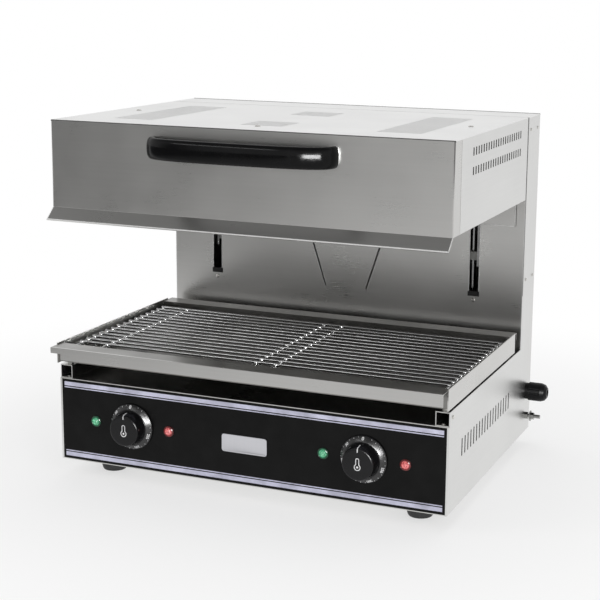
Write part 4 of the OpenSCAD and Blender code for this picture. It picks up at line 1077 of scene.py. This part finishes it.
class GRILL_OT_fittings(bpy.types.Operator):
    """Finishes the gland, stud, screws, stops and grid"""

    bl_idname = "grill.fittings"
    bl_label = "Fittings and grid"

    # The welds lie where 15 wires cross five bars; a bead is squeezed flat and wide.
    wires, first_wire, wire_pitch = 15, 26 * MM, 17.8 * MM
    end_bars, middle_bar, bars_below_top = (3 * MM, 46 * MM), 30 * MM, 3.0 * MM
    bead_radius, bead_shape = 2.9 * MM, (1.25, 1.05, 0.8)

    def execute(self, context):
        finish = settings(context)[1]
        dress(moulded("gland plastic", tint(finish.plastic, 0.6), rough=0.3, gloss=0.12), "cable_gland")
        dress(moulded("stop rubber", finish.rubber, rough=0.6, gloss=0.3), "slot_stops")
        nickel = turned_metal("nickel", (0.70, 0.69, 0.66), rough=0.24)
        dress(nickel, "hood_screws", "body_screws")
        dress(turned_metal("polished stud", (0.34, 0.34, 0.33), rough=0.2), "earth_stud")
        chrome = turned_metal("chromed wire", (0.50, 0.50, 0.50), rough=0.13, edge=0.0)
        # The weld beads are much lighter than the wire: a painted sparkle.
        weld_sparkle = turned_metal("bright weld", (0.86, 0.86, 0.86), rough=0.2, edge=0.0)
        dress(chrome, "wire_grid")
        as_piece(self.welds(), "grid_welds", "grid", weld_sparkle)
        return {"FINISHED"}

    def welds(self):
        """The squeezed beads where wires and bars are welded."""
        lowest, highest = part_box("wire_grid")
        centre_x = middle("wire_grid").x
        bars = [lowest.x + x for x in self.end_bars]
        bars += [centre_x, centre_x + self.middle_bar, highest.x - self.end_bars[0]]
        bm = bmesh.new()
        for x in bars:
            for i in range(self.wires):
                bead = bmesh.ops.create_icosphere(bm, subdivisions=2, radius=self.bead_radius)["verts"]
                bmesh.ops.scale(bm, vec=self.bead_shape, verts=bead)
                y = lowest.y + self.first_wire + i * self.wire_pitch
                bmesh.ops.translate(bm, vec=(x, y, highest.z - self.bars_below_top), verts=bead)
        return finished(bm)


class GRILL_OT_inner_parts(bpy.types.Operator):
    """Finishes the lift, the heating and the switches inside"""

    bl_idname = "grill.inner_parts"
    bl_label = "Inner parts"

    def execute(self, context):
        finish = settings(context)[1]
        looks = (
            # Rods darkened to stand in for the shade inside the column: painted shade.
            (turned_metal("oiled rod", (0.30, 0.30, 0.30)),
             both("guide_rod", "gas_rod", "thermostat_shaft", "lift_arm")),
            (turned_metal("zinc", (0.50, 0.51, 0.52), rough=0.4), ("guide_brackets",)),
            (moulded("spring lacquer", finish.enamel, rough=0.2, gloss=0.4), both("gas_tube")),
            (moulded("bush plastic", (0.28, 0.28, 0.27), rough=0.5, gloss=0.3), ("guide_bushes",)),
            (moulded("switch case", (0.06, 0.06, 0.06), rough=0.5, gloss=0.3), both("thermostat")),
            (moulded("ceramic body", (0.80, 0.77, 0.70), rough=0.6, gloss=0.3),
             ("terminal_block", "element_terminals")),
            # The fibre is darkened as painted shade inside the hood; the reflector is partly its own dull
            # tone, partly painted shade.
            (fibre_mat("ceramic fibre", (0.34, 0.32, 0.29)), ("ceramic_blanket",)),
            (turned_metal("reflector sheet", (0.42, 0.41, 0.39), rough=0.36),
             ("reflector", "element_supports")),
            (turned_metal("oxidised sheath", (0.16, 0.14, 0.13), rough=0.5), both("heating_element")),
        )
        for material, nodes in looks:
            dress(material, *nodes)
        return {"FINISHED"}


# ---- panel and registration

OPERATORS = (
    GRILL_OT_sheets,
    GRILL_OT_hood_front,
    GRILL_OT_trim,
    GRILL_OT_fascia,
    GRILL_OT_knobs,
    GRILL_OT_lamps,
    GRILL_OT_handle,
    GRILL_OT_feet,
    GRILL_OT_fittings,
    GRILL_OT_inner_parts,
    GRILL_OT_stage,
)


class GRILL_PT_parts(bpy.types.Panel):
    """Lists the settings and the steps of the grill"""

    bl_idname = "GRILL_PT_parts"
    bl_label = "Lift Salamander"
    bl_space_type = "VIEW_3D"
    bl_region_type = "UI"
    bl_category = "Grill"

    def draw(self, context):
        for group in settings(context):
            box = self.layout.box()
            for name in group.bl_rna.properties.keys():
                if name not in ("rna_type", "name"):
                    box.prop(group, name)
        for operator in OPERATORS:
            self.layout.operator(operator.bl_idname)


GROUPS = (GrillStageSettings, GrillFinishSettings, GrillDetailSettings)


def register():
    for made in GROUPS + OPERATORS + (GRILL_PT_parts,):
        bpy.utils.register_class(made)
    bpy.types.Scene.grill_stage = PointerProperty(type=GrillStageSettings)
    bpy.types.Scene.grill_finish = PointerProperty(type=GrillFinishSettings)
    bpy.types.Scene.grill_detail = PointerProperty(type=GrillDetailSettings)


def unregister():
    del bpy.types.Scene.grill_stage
    del bpy.types.Scene.grill_finish
    del bpy.types.Scene.grill_detail
    for made in reversed(GROUPS + OPERATORS + (GRILL_PT_parts,)):
        bpy.utils.unregister_class(made)


def main():
    register()
    for operator in OPERATORS:
        group, name = operator.bl_idname.split(".")
        getattr(getattr(bpy.ops, group), name)()


if __name__ == "__main__":
    main()
